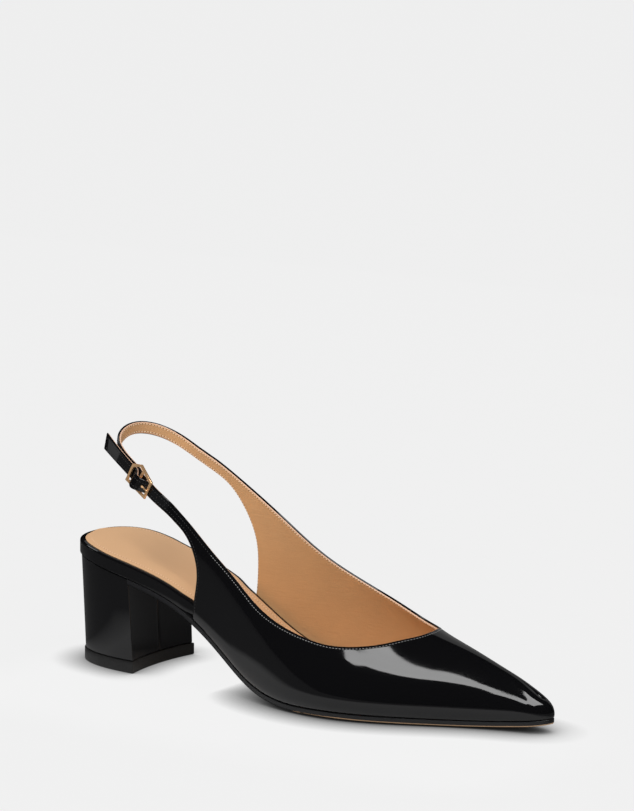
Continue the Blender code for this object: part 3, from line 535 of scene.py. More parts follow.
def sheet(mesh_data, points):
    """A grid made by bmesh and moved onto an array of points [column, row]; where each went."""
    columns, rows = points.shape[:2]
    made = bmesh.ops.create_grid(
        mesh_data, x_segments=columns - 1, y_segments=rows - 1, size=1, calc_uvs=False)
    places = {}
    for vert in made["verts"]:
        i = round((vert.co.x + 1) / 2 * (columns - 1))
        j = round((vert.co.y + 1) / 2 * (rows - 1))
        vert.co = points[i, j]
        places[vert] = (i, j)
    return places


def closed(mesh_data, weld=0.0005 * MM):
    """Merge a sheet's meeting edges, fill what ends are open and turn its faces outwards."""
    bmesh.ops.remove_doubles(mesh_data, verts=mesh_data.verts, dist=weld)
    bmesh.ops.dissolve_degenerate(mesh_data, edges=mesh_data.edges, dist=weld / 2)
    bmesh.ops.holes_fill(mesh_data, edges=mesh_data.edges, sides=0)
    bmesh.ops.recalc_face_normals(mesh_data, faces=mesh_data.faces)


def piece(name, mesh_data, finishes, replaced=(), smooth=40):
    """Object of a finished bmesh that rides on the shoe and stands for the solids it replaces."""
    mesh = bpy.data.meshes.new(name)
    mesh_data.to_mesh(mesh)
    mesh_data.free()
    mesh.shade_smooth()
    mesh.set_sharp_from_angle(angle=math.radians(smooth))
    for finish in finishes:
        mesh.materials.append(finish_of(finish))
    thing = bpy.data.objects.new(name, mesh)
    bpy.context.scene.collection.objects.link(thing)
    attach(thing, BODY)
    if replaced:
        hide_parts(*replaced)
    return thing


def outline(inset, count, extra=0.0):
    """One closed ring of stations and places out on the sole, set in by inset(station, side)."""
    angle = np.linspace(0, 2 * math.pi, count, endpoint=False)
    first = inset(0.0, -1) + extra
    last = SHOE_LENGTH - inset(SHOE_LENGTH, -1) - extra
    stations = first + (last - first) * (1 - np.cos(angle)) / 2
    out = np.where(
        angle <= math.pi,
        -half_width(stations, -1, inset(stations, -1) + extra),
        half_width(stations, 1, inset(stations, 1) + extra))
    return stations, out


def layered(mesh_data, rings):
    """Closed rings of points, each joined to the next."""
    rings = np.asarray(rings)
    return sheet(mesh_data, placed(np.concatenate([rings, rings[:, :1]], axis=1)))


def lofted(name, rings, finish, replaced=(), smooth=40):
    """Piece of closed rings of points."""
    mesh_data = bmesh.new()
    layered(mesh_data, rings)
    closed(mesh_data)
    return piece(name, mesh_data, [finish], replaced, smooth)


# Pads on the sole: points to a ring, shares of their width from the middle of the underside to
# its edge and from the edge of the top to its middle, and the radii of both edges. The sock lies
# just over the board, and its cushion dies away over a stretch of the length
PAD_STEPS = 300
PAD_UNDER = (0.0, 0.35, 0.7, 0.9)
PAD_OVER = (0.985, 0.96, 0.92, 0.86, 0.78, 0.66, 0.5, 0.3, 0.12, 0.0)
BOARD_ROUNDS = (0.4 * MM, 0.9 * MM)
SOCK_ROUNDS = (0.05 * MM, 0.3 * MM)
SOCK_LIFT = 0.02 * MM
CUSHION_ENDS_FROM = 0.2
CUSHION_ENDS_OVER = 0.3


def board_thickness(station):
    """Thickness of the insole board, thinner under the vamp."""
    thin = ease((station / SHOE_LENGTH - BOARD_THINS_FROM) / (BOARD_THINS_TO - BOARD_THINS_FROM))
    return BOARD_SEAT_THICKNESS + (BOARD_TOE_THICKNESS - BOARD_SEAT_THICKNESS) * thin


def board_inset(station, side):
    """Inset of the board's edge: flush at the seat, inside the wings further on."""
    foot = BACKS[side](1.0)[0]
    run = BOARD_NARROWS_BEHIND_WING - BOARD_NARROWED_BEHIND_WING
    inside = ease((station - foot + BOARD_NARROWS_BEHIND_WING) / run)
    return BOARD_SEAT_INSET + (UPPER_WALL + GAP - BOARD_SEAT_INSET) * inside


def sock_inset(station, side):
    """Inset of the sock's edge from the sole's outline."""
    return board_inset(station, side) + SOCK_MARGIN


def pad_rings(inset, base, thickness, rounds, crown=lambda x, share: 0):
    """Rings of a flat pad on the sole from its underside's middle over its edge to its top's."""
    rings = []
    low_round, top_round = rounds

    def ring(extra, share, height):
        x, y = outline(inset, PAD_STEPS, extra)
        spine = (y + np.roll(y[::-1], 1)) / 2
        rings.append(np.stack([x, spine + (y - spine) * share, base(x) + height(x, share)], -1))

    for share in PAD_UNDER:
        ring(low_round, share, lambda x, k: 0)
    for angle in np.radians(np.linspace(-90, 0, 4)):
        ring(low_round * (1 - math.cos(angle)), 1.0,
             lambda x, k, rise=low_round * (1 + math.sin(angle)): rise)
    for angle in np.radians(np.linspace(0, 90, 7)):
        ring(top_round * (1 - math.cos(angle)), 1.0,
             lambda x, k, drop=top_round * (1 - math.sin(angle)): thickness(x) - drop)
    for share in PAD_OVER:
        ring(top_round, share, lambda x, k: thickness(x) + crown(x, k))
    return rings


def marked_rows(made, mesh_data, first, last, index):
    """Give the faces between two rows of a sheet another of the piece's materials."""
    for face in mesh_data.faces:
        rows = [made[vert][1] for vert in face.verts]
        if min(rows) >= first and max(rows) <= last:
            face.material_index = index


# A stitch's facets round and along it, and its needle hole's radius and height: the hole is a flat dark
# disc of painted shade
STITCH_FACETS = (6, 5)
HOLE_SHADE_SHARE = 1.15
HOLE_SHADE_HEIGHT = 0.06 * MM


def stitch_row(mesh_data, line, normals, pitch, length, radius, colour=0, hole=None):
    """Stitches along a line on a face, as capsules sunk to their middle, with needle holes as flat dark
    discs of painted shade between them.
    """
    along = lengths(line)
    count = int(along[-1] / pitch)
    step = along[-1] / count
    knot = bmesh.new()
    bmesh.ops.create_uvsphere(
        knot, u_segments=STITCH_FACETS[0], v_segments=STITCH_FACETS[1], radius=1, calc_uvs=False,
        matrix=Matrix.Rotation(math.pi / 2, 4, "Y"))
    stitch = bpy.data.meshes.new("stitch")
    kinds = [(np.arange(count) + 0.5, length / 2, radius, radius, colour)]
    # The holes are flat discs in a dark colour: painted shade in the needle holes between stitches
    if hole is not None:
        kinds.append((np.arange(1, count), HOLE_SHADE_SHARE * radius, HOLE_SHADE_SHARE * radius,
                      HOLE_SHADE_HEIGHT, hole))
    for steps, half, wide, high, index in kinds:
        at = steps * step
        places, ahead, behind, up = (
            np.stack([np.interp(where, along, values[:, k]) for k in range(3)], -1)
            for where, values in ((at, line), (at + pitch / 4, line), (at - pitch / 4, line),
                                  (at, normals)))
        for place, run, normal in zip(places, ahead - behind, up):
            run = Vector(run).normalized()
            normal = Vector(normal).normalized()
            side = normal.cross(run).normalized()
            turn = Matrix((run * half, side * wide, normal * high)).transposed().to_4x4()
            turn.translation = place
            knot.to_mesh(stitch)
            stitch.transform(turn)
            stitch.polygons.foreach_set("material_index", [index] * len(stitch.polygons))
            mesh_data.from_mesh(stitch)
    knot.free()
    bpy.data.meshes.remove(stitch)


def upper_lines(depth, low_edge, top_edge):
    """Lines a set distance inside the upper's lower and upper edge, with their normals."""
    low_slope, top_slope = edge_slopes()
    low, top = low_edge / low_slope, 1 - top_edge / top_slope
    grid = upper_face(np.stack(
        [end + step * LINE_PROBE for end in (low, top) for step in (-1, 0, 1)], -1))
    normals = grid_normals(grid)
    grid = placed(grid - depth * normals)
    return (grid[:, 1], normals[:, 1]), (grid[:, 4], normals[:, 4])


class Socket:
    """A node's output, on which Python's operators add Math nodes."""

    def __init__(self, finish, socket):
        self.finish = finish
        self.socket = socket

    def math(self, operation, other=None, flipped=False):
        """A Math node of this value and another."""
        values = [self] if other is None else [other, self] if flipped else [self, other]
        inputs = dict(enumerate(values))
        return self.finish.node("ShaderNodeMath", inputs, operation=operation)

    def __add__(self, other):
        return self.math("ADD", other)

    def __radd__(self, other):
        return self.math("ADD", other, True)

    def __sub__(self, other):
        return self.math("SUBTRACT", other)

    def __rsub__(self, other):
        return self.math("SUBTRACT", other, True)

    def __mul__(self, other):
        return self.math("MULTIPLY", other)

    def __rmul__(self, other):
        return self.math("MULTIPLY", other, True)

    def __truediv__(self, other):
        return self.math("DIVIDE", other)

    def __pow__(self, other):
        return self.math("POWER", other)


class Finish:
    """A material in the making, round its Principled shader."""

    def __init__(self, name, colour, **settings):
        self.material = bpy.data.materials.new(name)
        self.material.use_nodes = True
        self.tree = self.material.node_tree
        self.shader = self.tree.nodes["Principled BSDF"]
        self.put("Base Color", colour)
        for key, value in settings.items():
            self.put(key.replace("_", " ").title(), value)

    def put(self, name, value):
        """Set or link one of the shader's sockets."""
        self.feed(self.shader.inputs[name], value)

    def feed(self, socket, value):
        """Set a socket to a value, or link another node's output to it."""
        if isinstance(value, Socket):
            self.tree.links.new(value.socket, socket)
        elif hasattr(socket.default_value, "__len__"):
            value = tuple(value)
            socket.default_value = value + (1,) * (len(socket.default_value) - len(value))
        else:
            socket.default_value = value

    def node(self, kind, inputs=None, output=0, stops=None, **settings):
        """Add a node: its settings first, then its sockets, by name or number."""
        node = self.tree.nodes.new(kind)
        for key, value in settings.items():
            setattr(node, key, value)
        if stops:
            ramp = node.color_ramp
            while len(ramp.elements) < len(stops):
                ramp.elements.new(0.5)
            for element, (place, colour) in zip(ramp.elements, stops):
                element.position = place
                element.color = (*colour, 1)
        for key, value in (inputs or {}).items():
            self.feed(node.inputs[key], value)
        return Socket(self, node.outputs[output])

    def place(self, scale=(1, 1, 1), turn=(0, 0, 0)):
        """Object coordinates in metres, stretched and turned."""
        at = self.node("ShaderNodeTexCoord", output="Object")
        return self.node("ShaderNodeMapping", {"Vector": at, "Scale": scale, "Rotation": turn})

    def noise(self, scale, detail=2.0, roughness=0.5, place=None, distortion=0.0):
        """Noise of a number of bumps to the metre, from 0 to 1."""
        return self.node("ShaderNodeTexNoise", {
            "Vector": place or self.place(), "Scale": scale, "Detail": detail,
            "Roughness": roughness, "Distortion": distortion})

    def grey(self, name, tone):
        """Link a tone to one of the shader's colours."""
        self.put(name, self.node("ShaderNodeCombineColor", {0: tone, 1: tone, 2: tone}))

    def clouds(self, colour, share, factor):
        """Blend the colour into a darker share of itself."""
        darker = [share * tone for tone in colour]
        self.put("Base Color", self.node(
            "ShaderNodeMix", {0: factor, 6: colour, 7: darker}, output=2, data_type="RGBA"))

    def surface(self, roughness, relief, depth):
        """The finished material: its roughness, and its relief with the depth in metres."""
        self.put("Roughness", roughness)
        self.put("Normal", self.node("ShaderNodeBump", {
            "Height": relief, "Distance": depth, "Strength": 1.0}))
        return self.material


def patent_leather(name, colour):
    """Black patent leather: a mirror film over fine grain, with a slow waviness."""
    finish = Finish(name, colour, coat_weight=0.1, coat_roughness=0.03)
    waves = finish.noise(38, 1.5)
    grain = finish.noise(1600, 3.0)
    smears = finish.noise(120, 3.0, 0.6)
    return finish.surface(0.03 + smears * 0.05, waves + grain * 0.02, 0.00012)


def lining_leather(name, colour):
    """Tan lining leather with pores and a few soft creases."""
    finish = Finish(name, colour)
    finish.clouds(colour, 0.82, finish.noise(45, 4.0, 0.6))
    pores = finish.noise(2600, 3.0, 0.6)
    creases = finish.noise(1.0, 3.0, 0.55, finish.place((130, 380, 700), (0.3, 0.5, 0.2)), 0.6)
    return finish.surface(0.45 + pores * 0.2, pores * 0.3 + creases * 0.6, 0.00014)


def sock_leather(name, colour):
    """Soft tan sock leather, finely grained."""
    finish = Finish(name, colour)
    finish.clouds(colour, 0.92, finish.noise(30, 3.0, 0.5))
    pores = finish.noise(2200, 4.0, 0.65)
    return finish.surface(0.42 + pores * 0.22, pores, 0.00007)


def sole_leather(name, colour):
    """Sole leather, brushed along the shoe, with scuffs."""
    finish = Finish(name, colour)
    finish.clouds(colour, 0.8, finish.noise(70, 3.0, 0.6))
    fibres = finish.noise(1.0, 4.0, 0.6, finish.place((300, 1500, 1500)))
    return finish.surface(0.4 + fibres * 0.25, fibres, 0.00008)


def edge_paint(name, colour):
    """Satin edge paint on a cut edge, slightly uneven."""
    finish = Finish(name, colour)
    runs = finish.noise(900, 3.0, 0.6)
    return finish.surface(0.28 + runs * 0.2, runs, 0.00006)


def hard_rubber(name, colour):
    """Hard dull rubber with fine pits."""
    finish = Finish(name, colour)
    pits = finish.noise(2400, 3.0, 0.7)
    worn = finish.noise(160, 3.0, 0.6)
    return finish.surface(0.38 + worn * 0.25, pits, 0.00005)


def polished_metal(name, colour):
    """Rose-gold plating, polished, with hairline marks."""
    finish = Finish(name, colour, metallic=0.75)
    marks = finish.noise(1.0, 3.0, 0.6, finish.place((900, 4000, 900), (0, 0.8, 0)))
    return finish.surface(0.15 + marks * 0.12, marks, 0.00001)


def thread(name, colour):
    """Twisted thread."""
    finish = Finish(name, colour)
    twist = finish.noise(3500, 2.0)
    return finish.surface(0.5 + twist * 0.2, twist, 0.00005)


def size_of(name, description, default, low, high):
    """A size in the sidebar, from its default and its limits in millimetres."""
    return FloatProperty(name=name, description=description, unit="LENGTH",
                         default=default * MM, min=low * MM, max=high * MM)


def colour_of(name, description, *default):
    """A colour in the sidebar."""
    return FloatVectorProperty(
        name=name, description=description, subtype="COLOR", default=default)


class PumpSizes(bpy.types.PropertyGroup):
    """Sizes of what the solids leave to the visual model."""

    lining: size_of("Lining", "Thickness of the lining leather", 0.6, 0.2, 0.9)
    fold: size_of("Fold", "How far the folded edge stands over the lining's edge", 0.35, 0, 2)
    seam_inset: size_of(
        "Seam inset", "Distance of the outer stitches from the folded edge", 1.6, 0.8, 3)
    lining_seam_inset: size_of(
        "Lining seam inset", "Distance of the inner stitches from the folded edge", 1.15, 0.8, 3)
    stitch_pitch: size_of("Stitch pitch", "Distance from one stitch to the next", 1.45, 0.8, 5)
    stitch_length: size_of("Stitch length", "Visible length of one stitch", 0.95, 0.5, 5)
    thread_radius: size_of("Thread radius", "Radius of the thread", 0.19, 0.05, 0.5)
    sock_cushion: size_of("Sock cushion", "How far the sock swells over its edge", 0.5, 0, 3)
    sock_seam_inset: size_of(
        "Sock seam inset", "Distance of the sock's stitches from its edge", 2.6, 0.5, 6)
    sock_leather: size_of("Sock leather", "Thickness of the sock at its edge", 0.4, 0.2, 1.2)
    strap_hole: size_of("Strap hole", "Radius of a hole in the strap", 0.55, 0.2, 1.5)


class PumpColours(bpy.types.PropertyGroup):
    """Colours of the finishes."""

    patent: colour_of("Patent leather", "Black patent leather", 0.004, 0.004, 0.0045)
    lining: colour_of("Lining", "Tan lining leather", 0.69, 0.385, 0.175)
    lining_edge: colour_of("Lining edge", "Cut edge of the lining", 0.80, 0.50, 0.34)
    sock: colour_of("Sock", "Sock leather", 0.67, 0.400, 0.210)
    sole: colour_of("Sole", "Underside of the outsole", 0.52, 0.33, 0.19)
    sole_edge: colour_of("Sole edge", "Black paint on the sole's edge", 0.008, 0.008, 0.009)
    top_piece: colour_of("Top piece", "Black top piece", 0.009, 0.009, 0.009)
    metal: colour_of("Buckle", "Rose-gold plating", 0.98, 0.60, 0.31)
    dark_thread: colour_of("Outer thread", "Thread on the patent straps", 0.016, 0.016, 0.016)
    # Painted glint: the vamp's thread is the same dark thread as on the straps, painted lighter grey
    # along the vamp's top line
    vamp_thread: colour_of(
        "Vamp thread", "Thread along the vamp's top line", 0.24, 0.24, 0.24)
    sock_thread: colour_of("Sock thread", "Thread on the sock", 0.80, 0.55, 0.36)
    # Painted shade: the colour of the dark discs in the needle holes
    needle_hole: colour_of(
        "Needle hole", "Shadow in the holes between stitches", 0.28, 0.13, 0.055)
    light_thread: colour_of("Inner thread", "Thread on the linings", 0.88, 0.68, 0.48)


# Finishes: what makes each, and its colour's name in the sidebar
FINISHES = {
    "patent_leather": (patent_leather, "patent"),
    "lining_leather": (lining_leather, "lining"),
    "lining_edge": (edge_paint, "lining_edge"),
    "sock_leather": (sock_leather, "sock"),
    "sole_leather": (sole_leather, "sole"),
    "sole_edge": (edge_paint, "sole_edge"),
    "top_piece_rubber": (hard_rubber, "top_piece"),
    "rose_metal": (polished_metal, "metal"),
    "dark_thread": (thread, "dark_thread"),
    # Painted glint: a lighter copy of the dark thread for the vamp's top line
    "vamp_thread": (thread, "vamp_thread"),
    "light_thread": (thread, "light_thread"),
    "sock_thread": (thread, "sock_thread"),
    # Painted shade in the needle holes, made with the thread's finish
    "needle_hole": (thread, "needle_hole"),
}
# Materials that have been made
PALETTE = {}


def finish_of(name):
    """The material of a finish, made when it is first asked for."""
    if name not in PALETTE:
        maker, colour = FINISHES[name]
        PALETTE[name] = maker(name, getattr(bpy.context.scene.pump_colours, colour))
    return PALETTE[name]


class PUMP_OT_upper(bpy.types.Operator):
    """Build the upper's patent leather wall and its tan lining"""

    bl_idname = "pump.upper"
    bl_label = "Upper"

    def execute(self, context):
        sizes = context.scene.pump_sizes
        shell_wall = UPPER_WALL - sizes.lining
        mesh_data = bmesh.new()
        sheet(mesh_data, wall_loop(0.0, shell_wall, 0.0, 0.0))
        closed(mesh_data)
        piece("upper_leather", mesh_data, ["patent_leather"], ["upper"], 50)
        mesh_data = bmesh.new()
        made = sheet(mesh_data, wall_loop(shell_wall, UPPER_WALL, sizes.fold, sizes.fold))
        top_rim = OUTER_ROWS - 1
        low_rim = top_rim + RIM_STEPS + INNER_ROWS
        marked_rows(made, mesh_data, top_rim, top_rim + RIM_STEPS + 1, 1)
        marked_rows(made, mesh_data, low_rim, low_rim + RIM_STEPS + 1, 1)
        closed(mesh_data)
        piece("upper_lining", mesh_data, ["lining_leather", "lining_edge"],
              smooth=50)
        return {"FINISHED"}


class PUMP_OT_upper_stitches(bpy.types.Operator):
    """Sew the upper's edges: dark thread outside, painted lighter along the vamp's top line as a
    painted glint, light thread on the lining
    """

    bl_idname = "pump.upper_stitches"
    bl_label = "Upper stitches"

    def execute(self, context):
        sizes = context.scene.pump_sizes
        size = (sizes.stitch_pitch, sizes.stitch_length, sizes.thread_radius)
        wing_end = FREE_STEPS + WING_STEPS - 2
        medial_start = FREE_STEPS + WING_STEPS + 2 * VAMP_STEPS + 3
        stretches = (slice(2, wing_end), slice(medial_start, COLUMNS - 2))
        vamp = slice(FREE_STEPS + WING_STEPS // 2, COLUMNS - SLING_STEPS - WING_STEPS // 2)
        mesh_data = bmesh.new()
        low, top = upper_lines(0.0, sizes.seam_inset, sizes.seam_inset)
        # The vamp's stretch of the top row takes the lighter thread colour: painted glints on the same
        # dark thread
        for stretch, colour in ((slice(2, vamp.start + 1), 0), (vamp, 1),
                                (slice(vamp.stop - 1, COLUMNS - 2), 0)):
            stitch_row(mesh_data, top[0][stretch], top[1][stretch], *size, colour)
        for stretch in stretches:
            stitch_row(mesh_data, low[0][stretch], low[1][stretch], *size)
        piece("outer_stitches", mesh_data, ["dark_thread", "vamp_thread"],
              smooth=60)
        mesh_data = bmesh.new()
        low, top = upper_lines(UPPER_WALL, sizes.lining_seam_inset, sizes.lining_seam_inset)
        # Lining stitches, with dark discs of painted shade in their needle holes
        for (line, normals), stretch in ((top, slice(2, -2)), (low, stretches[0]), (low, stretches[1])):
            stitch_row(mesh_data, line[stretch], -normals[stretch], *size, 0, 1)
        piece("lining_stitches", mesh_data, ["light_thread", "needle_hole"],
              smooth=60)
        return {"FINISHED"}


class PUMP_OT_insole(bpy.types.Operator):
    """Build the wrapped insole board, the sock and the sock's stitches"""

    bl_idname = "pump.insole"
    bl_label = "Insole and sock"

    def execute(self, context):
        sizes = context.scene.pump_sizes
        lofted("board_cover", pad_rings(
            board_inset, lambda x: feather_height(x) + GAP, board_thickness, BOARD_ROUNDS),
            "patent_leather", ["insole_board"], 50)

        def base(x):
            return feather_height(x) + board_thickness(x) + GAP + SOCK_LIFT

        def crown(x, share):
            past = (x / SHOE_LENGTH - CUSHION_ENDS_FROM) / CUSHION_ENDS_OVER
            return sizes.sock_cushion * (1 - share ** 4) * (1 - ease(past))

        lofted("sock_cover", pad_rings(
            sock_inset, base, lambda x: sizes.sock_leather, SOCK_ROUNDS, crown),
            "sock_leather", ["sock"], 50)
        x, y = outline(sock_inset, 2 * PAD_STEPS, sizes.sock_seam_inset)
        z = base(x) + sizes.sock_leather + crown(x, 0.9)
        line = placed(np.stack([x, y, z], -1))
        slope = (base(x + SLOPE_STEP) - base(x - SLOPE_STEP)) / (2 * SLOPE_STEP)
        normals = np.stack([-slope, 0 * x, 1 + 0 * x], -1)
        mesh_data = bmesh.new()
        # The sock's stitches, with dark discs of painted shade in their needle holes
        stitch_row(mesh_data, line, normals, sizes.stitch_pitch, sizes.stitch_length,
                   sizes.thread_radius * 0.9, 0, 1)
        piece("sock_stitches", mesh_data, ["sock_thread", "needle_hole"],
              smooth=60)
        return {"FINISHED"}


def tread(station):
    """How far the sole's belly comes down to the floor at a station, 0 to 1."""
    along = station / SHOE_LENGTH
    comes = ease((along - TREAD_FROM) / (TREAD_FULL - TREAD_FROM))
    goes = ease((along - TREAD_LEAVES) / (TREAD_TO - TREAD_LEAVES))
    return comes * (1 - goes)


class PUMP_OT_outsole(bpy.types.Operator):
    """Build the outsole with its black edge and tan underside"""

    bl_idname = "pump.outsole"
    bl_label = "Outsole"

    def execute(self, context):
        start = HEEL_BACK + HEEL_TOP_LENGTH + GAP
        share = np.linspace(-1, 1, SOLE_COLUMNS)
        stations = start + (SHOE_LENGTH - start) * (share + np.sin(share * math.pi / 2) + 2) / 4
        tan_line = TAN_RISE * ease((stations / SHOE_LENGTH - TAN_FROM) / (TAN_FULL - TAN_FROM))
        across = np.linspace(-1, 1, SOLE_ROWS)
        top = feather_height(stations)
        edge = top - SOLE_EDGE

        def out(side, inset):
            return side * half_width(stations, side, inset)

        def belly(k):
            come = tread(stations) * (1 - ease((abs(k) - TREAD_FLAT) / (1 - TREAD_FLAT)))
            return edge * (1 - come)

        def corner(side, angle):
            turn = math.radians(angle)
            return (out(side, SOLE_ROUND * (1 - math.sin(turn))),
                    edge + SOLE_ROUND * (1 - math.cos(turn)))

        def wall(side):
            return [(out(side, 0.0), edge + tan_line + PAINT_GAP),
                    (out(side, 0.0), top - SOLE_CHAMFER), (out(side, SOLE_CHAMFER), top)]

        low, high = out(-1, SOLE_ROUND), out(1, SOLE_ROUND)
        rows = [((low + high) / 2 + (high - low) / 2 * k, belly(k)) for k in across]
        rows += [corner(1, angle) for angle in (30, 60, 90)] + wall(1)
        rows.append(((out(1, MM) + out(-1, MM)) / 2, top))
        rows += wall(-1)[::-1] + [corner(-1, angle) for angle in (90, 60, 30, 0)]
        points = np.stack([np.stack([stations, y, z], -1) for y, z in rows], 1)
        mesh_data = bmesh.new()
        made = sheet(mesh_data, placed(points))
        first_black = len(across) + 3
        marked_rows(made, mesh_data, first_black - 1, first_black + 6, 1)
        for face in mesh_data.faces:
            column, row = np.min([made[vert] for vert in face.verts], axis=0)
            if stations[column] < TAN_FROM * SHOE_LENGTH and row >= len(across) - 1:
                face.material_index = 1
        closed(mesh_data)
        piece("sole", mesh_data, ["sole_leather", "sole_edge"], ["outsole"])
        return {"FINISHED"}


# Heel: points of its outline along each side and across half the breast, the cover's seam down
# the breast, its gap over the top piece, and the top piece's edge as insets and heights in mm
HEEL_SIDE_STEPS = 44
BREAST_STEPS = 14
SEAM_POINT = 13
SEAM_DEPTH = 0.35 * MM
HEEL_LIFT = 0.05 * MM
HEEL_RINGS = 25
HEEL_EDGE = 0.5 * MM
HEEL_EDGE_TURN = 50
TOP_PIECE_MM = TOP_PIECE_THICKNESS / MM
TOP_PIECE_RINGS = (
    (0.45, 0.0), (0.12, 0.1), (0.0, 0.4), (0.0, 1.6), (0.0, 3.4), (0.0, TOP_PIECE_MM - 0.4),
    (0.12, TOP_PIECE_MM - 0.1), (0.45, TOP_PIECE_MM),
)


def heel_ring(at_foot, lip, height):
    """Closed outline of the heel at its head or its foot, from the lateral front corner."""
    back = 1 - np.cos(np.linspace(0, math.pi / 2, HEEL_SIDE_STEPS))
    side = np.linspace(1, 0.05, BREAST_STEPS)[1:]
    breast = np.concatenate([side, (0.018, 0, -0.018), -side[::-1]])
    if at_foot:
        along = HEEL_BACK - lip + (HEEL_LENGTH + 2 * lip) * back
        full = np.clip(1 - (1 - back) ** HEEL_ROUNDNESS, 0, 1) ** (1 / HEEL_ROUNDNESS)
        halves = (HEEL_LATERAL + lip) * full, (HEEL_MEDIAL + lip) * full
    else:
        start = BOARD_SEAT_INSET + HEEL_TOP_INSET
        along = start + (HEEL_BACK + HEEL_TOP_LENGTH - start) * back
        halves = [half_width(along, side, HEEL_TOP_INSET + BOARD_SEAT_INSET) for side in (-1, 1)]
    middle = (halves[1] - halves[0]) / 2
    half = np.maximum((halves[1] + halves[0]) / 2, 1e-6 * MM)
    row = np.concatenate([np.arange(len(back))[::-1], np.arange(1, len(back)),
                          np.full(len(breast), len(back) - 1)])
    y = np.concatenate([-halves[0][::-1], halves[1][1:], middle[-1] + half[-1] * breast])
    w = np.clip((y - middle[row]) / half[row], -1, 1)
    x = along[row] - BREAST_HOLLOW * back[row] ** 4 * (1 - w ** 2)
    z = feather_height(x) if height is None else np.full_like(x, height)
    seam = np.zeros_like(x)
    seam[SEAM_POINT - len(breast)] = 1
    return np.stack([x, y, z], -1), seam


class PUMP_OT_heel(bpy.types.Operator):
    """Build the covered heel with its seam down the breast, and its top piece"""

    bl_idname = "pump.heel"
    bl_label = "Heel"

    def execute(self, context):
        head, seam = heel_ring(False, 0.0, None)
        foot, _ = heel_ring(True, 0.0, TOP_PIECE_THICKNESS + HEEL_LIFT)
        rings = []
        for share in np.linspace(0, 1, HEEL_RINGS):
            ring = head + (foot - head) * share
            ring[:, 0] -= seam * SEAM_DEPTH
            rings.append(ring)
        heel = lofted("heel_cover", rings, "patent_leather", ["heel_block"], 50)
        bevel = heel.modifiers.new("edges", "BEVEL")
        bevel.width = HEEL_EDGE
        bevel.segments = 3
        bevel.limit_method = "ANGLE"
        bevel.angle_limit = math.radians(HEEL_EDGE_TURN)
        rings = [heel_ring(True, TOP_PIECE_LIP - inset * MM, height * MM)[0]
                 for inset, height in TOP_PIECE_RINGS]
        lofted("heel_tip", rings, "top_piece_rubber", ["top_piece"])
        return {"FINISHED"}


def buckle_plane():
    """Middle of the buckle over the free strap, its direction to the toe, up and outward."""
    places = np.array((BUCKLE_PLACE - BUCKLE_HALF_LENGTH, BUCKLE_PLACE + BUCKLE_HALF_LENGTH))
    middle, run, across, outward = sling_frame(places)
    ends = middle + outward * (UPPER_WALL + 2 * GAP + BAR_THICKNESS / 2)
    run = unit(ends[1] - ends[0])
    across = across.mean(axis=0)
    across = unit(across - run * np.dot(across, run))
    return ends.mean(axis=0), run, across, np.cross(run, across)


def buckle_outline(margin):
    """Corners of the frame, pointed above, set in by a margin, from the rear upper one round."""
    length = BUCKLE_HALF_LENGTH - margin
    side = STRAP_WIDTH / 2 + GAP + BAR_WIDTH - margin
    point = side + BUCKLE_POINT_MARGIN
    return np.array(((-length, side), (-BUCKLE_POINT_BACK, point), (length, side),
                     (length, -side), (0, -side), (-length, -side)))


def buckle_reach(margin):
    """How far down and up the frame reaches at its middle, set in by a margin."""
    corners = buckle_outline(margin)
    return corners[4, 1], np.interp(0.0, corners[1:3, 0], corners[1:3, 1])


def in_plane(points, height, plane):
    """Points given along and across the buckle, at a height over its middle plane."""
    middle, run, across, outward = plane
    points = np.asarray(points, float)
    return middle + points[:, :1] * run + points[:, 1:] * across + height * outward


def circle(steps):
    """Cosine and sine of as many places round a circle."""
    angles = np.linspace(0, 2 * math.pi, steps, endpoint=False)
    return [(math.cos(angle), math.sin(angle)) for angle in angles]


# The frame's bars have rounded corners. The centre bar is a rod, sized in bars, that ends inside
# the frame. The prong tapers, is a little flat and rests on the frame, rounded at its tip
CORNER_STEPS = 4
CORNER_ROUND = 0.3 * MM
ROD_FACETS = 16
ROD_SHARES = (0.56, 0.5)
ROD_MARGIN = 0.6
PRONG_FACETS = 14
PRONG_RINGS = 22
PRONG_RADIUS = 0.52 * MM
PRONG_TAPER = 0.35
PRONG_FLAT = 0.8
PRONG_REST = 0.45 * MM
PRONG_TIP_FROM = 0.9
PRONG_TIP_LEAST = 0.02
PRONG_KNOTS = (0, 0.2, 0.6, 0.9, 1.0)


def bar_section():
    """Rounded rectangle round a bar, as (across, over), from 0 to its width."""
    near, far = CORNER_ROUND, BAR_WIDTH - CORNER_ROUND
    high = BAR_THICKNESS / 2 - CORNER_ROUND
    points = []
    for x, z, turn in ((far, high, 0), (near, high, 90), (near, -high, 180), (far, -high, 270)):
        for step in range(CORNER_STEPS):
            angle = math.radians(turn + 90 * step / (CORNER_STEPS - 1))
            points.append((x + CORNER_ROUND * math.cos(angle), z + CORNER_ROUND * math.sin(angle)))
    return points


def prong_radius(share):
    """Radius of the prong along its length, tapered and rounded at its tip."""
    tip = max(0, (share - PRONG_TIP_FROM) / (1 - PRONG_TIP_FROM))
    return PRONG_RADIUS * (1 - PRONG_TAPER * share) * math.sqrt(max(1 - tip ** 2, PRONG_TIP_LEAST))


# Spare holes before the buckle, and the section of one's raised rim and its hollow
HOLE_PLACES = (11.5 * MM, 16.5 * MM)
HOLE_SECTION = (
    (0.0, -0.2), (1.5, -0.2), (1.45, 0.02), (1.2, 0.1), (0.95, 0.08), (0.75, 0.0), (0.0, 0.0))
HOLE_FACETS = 20


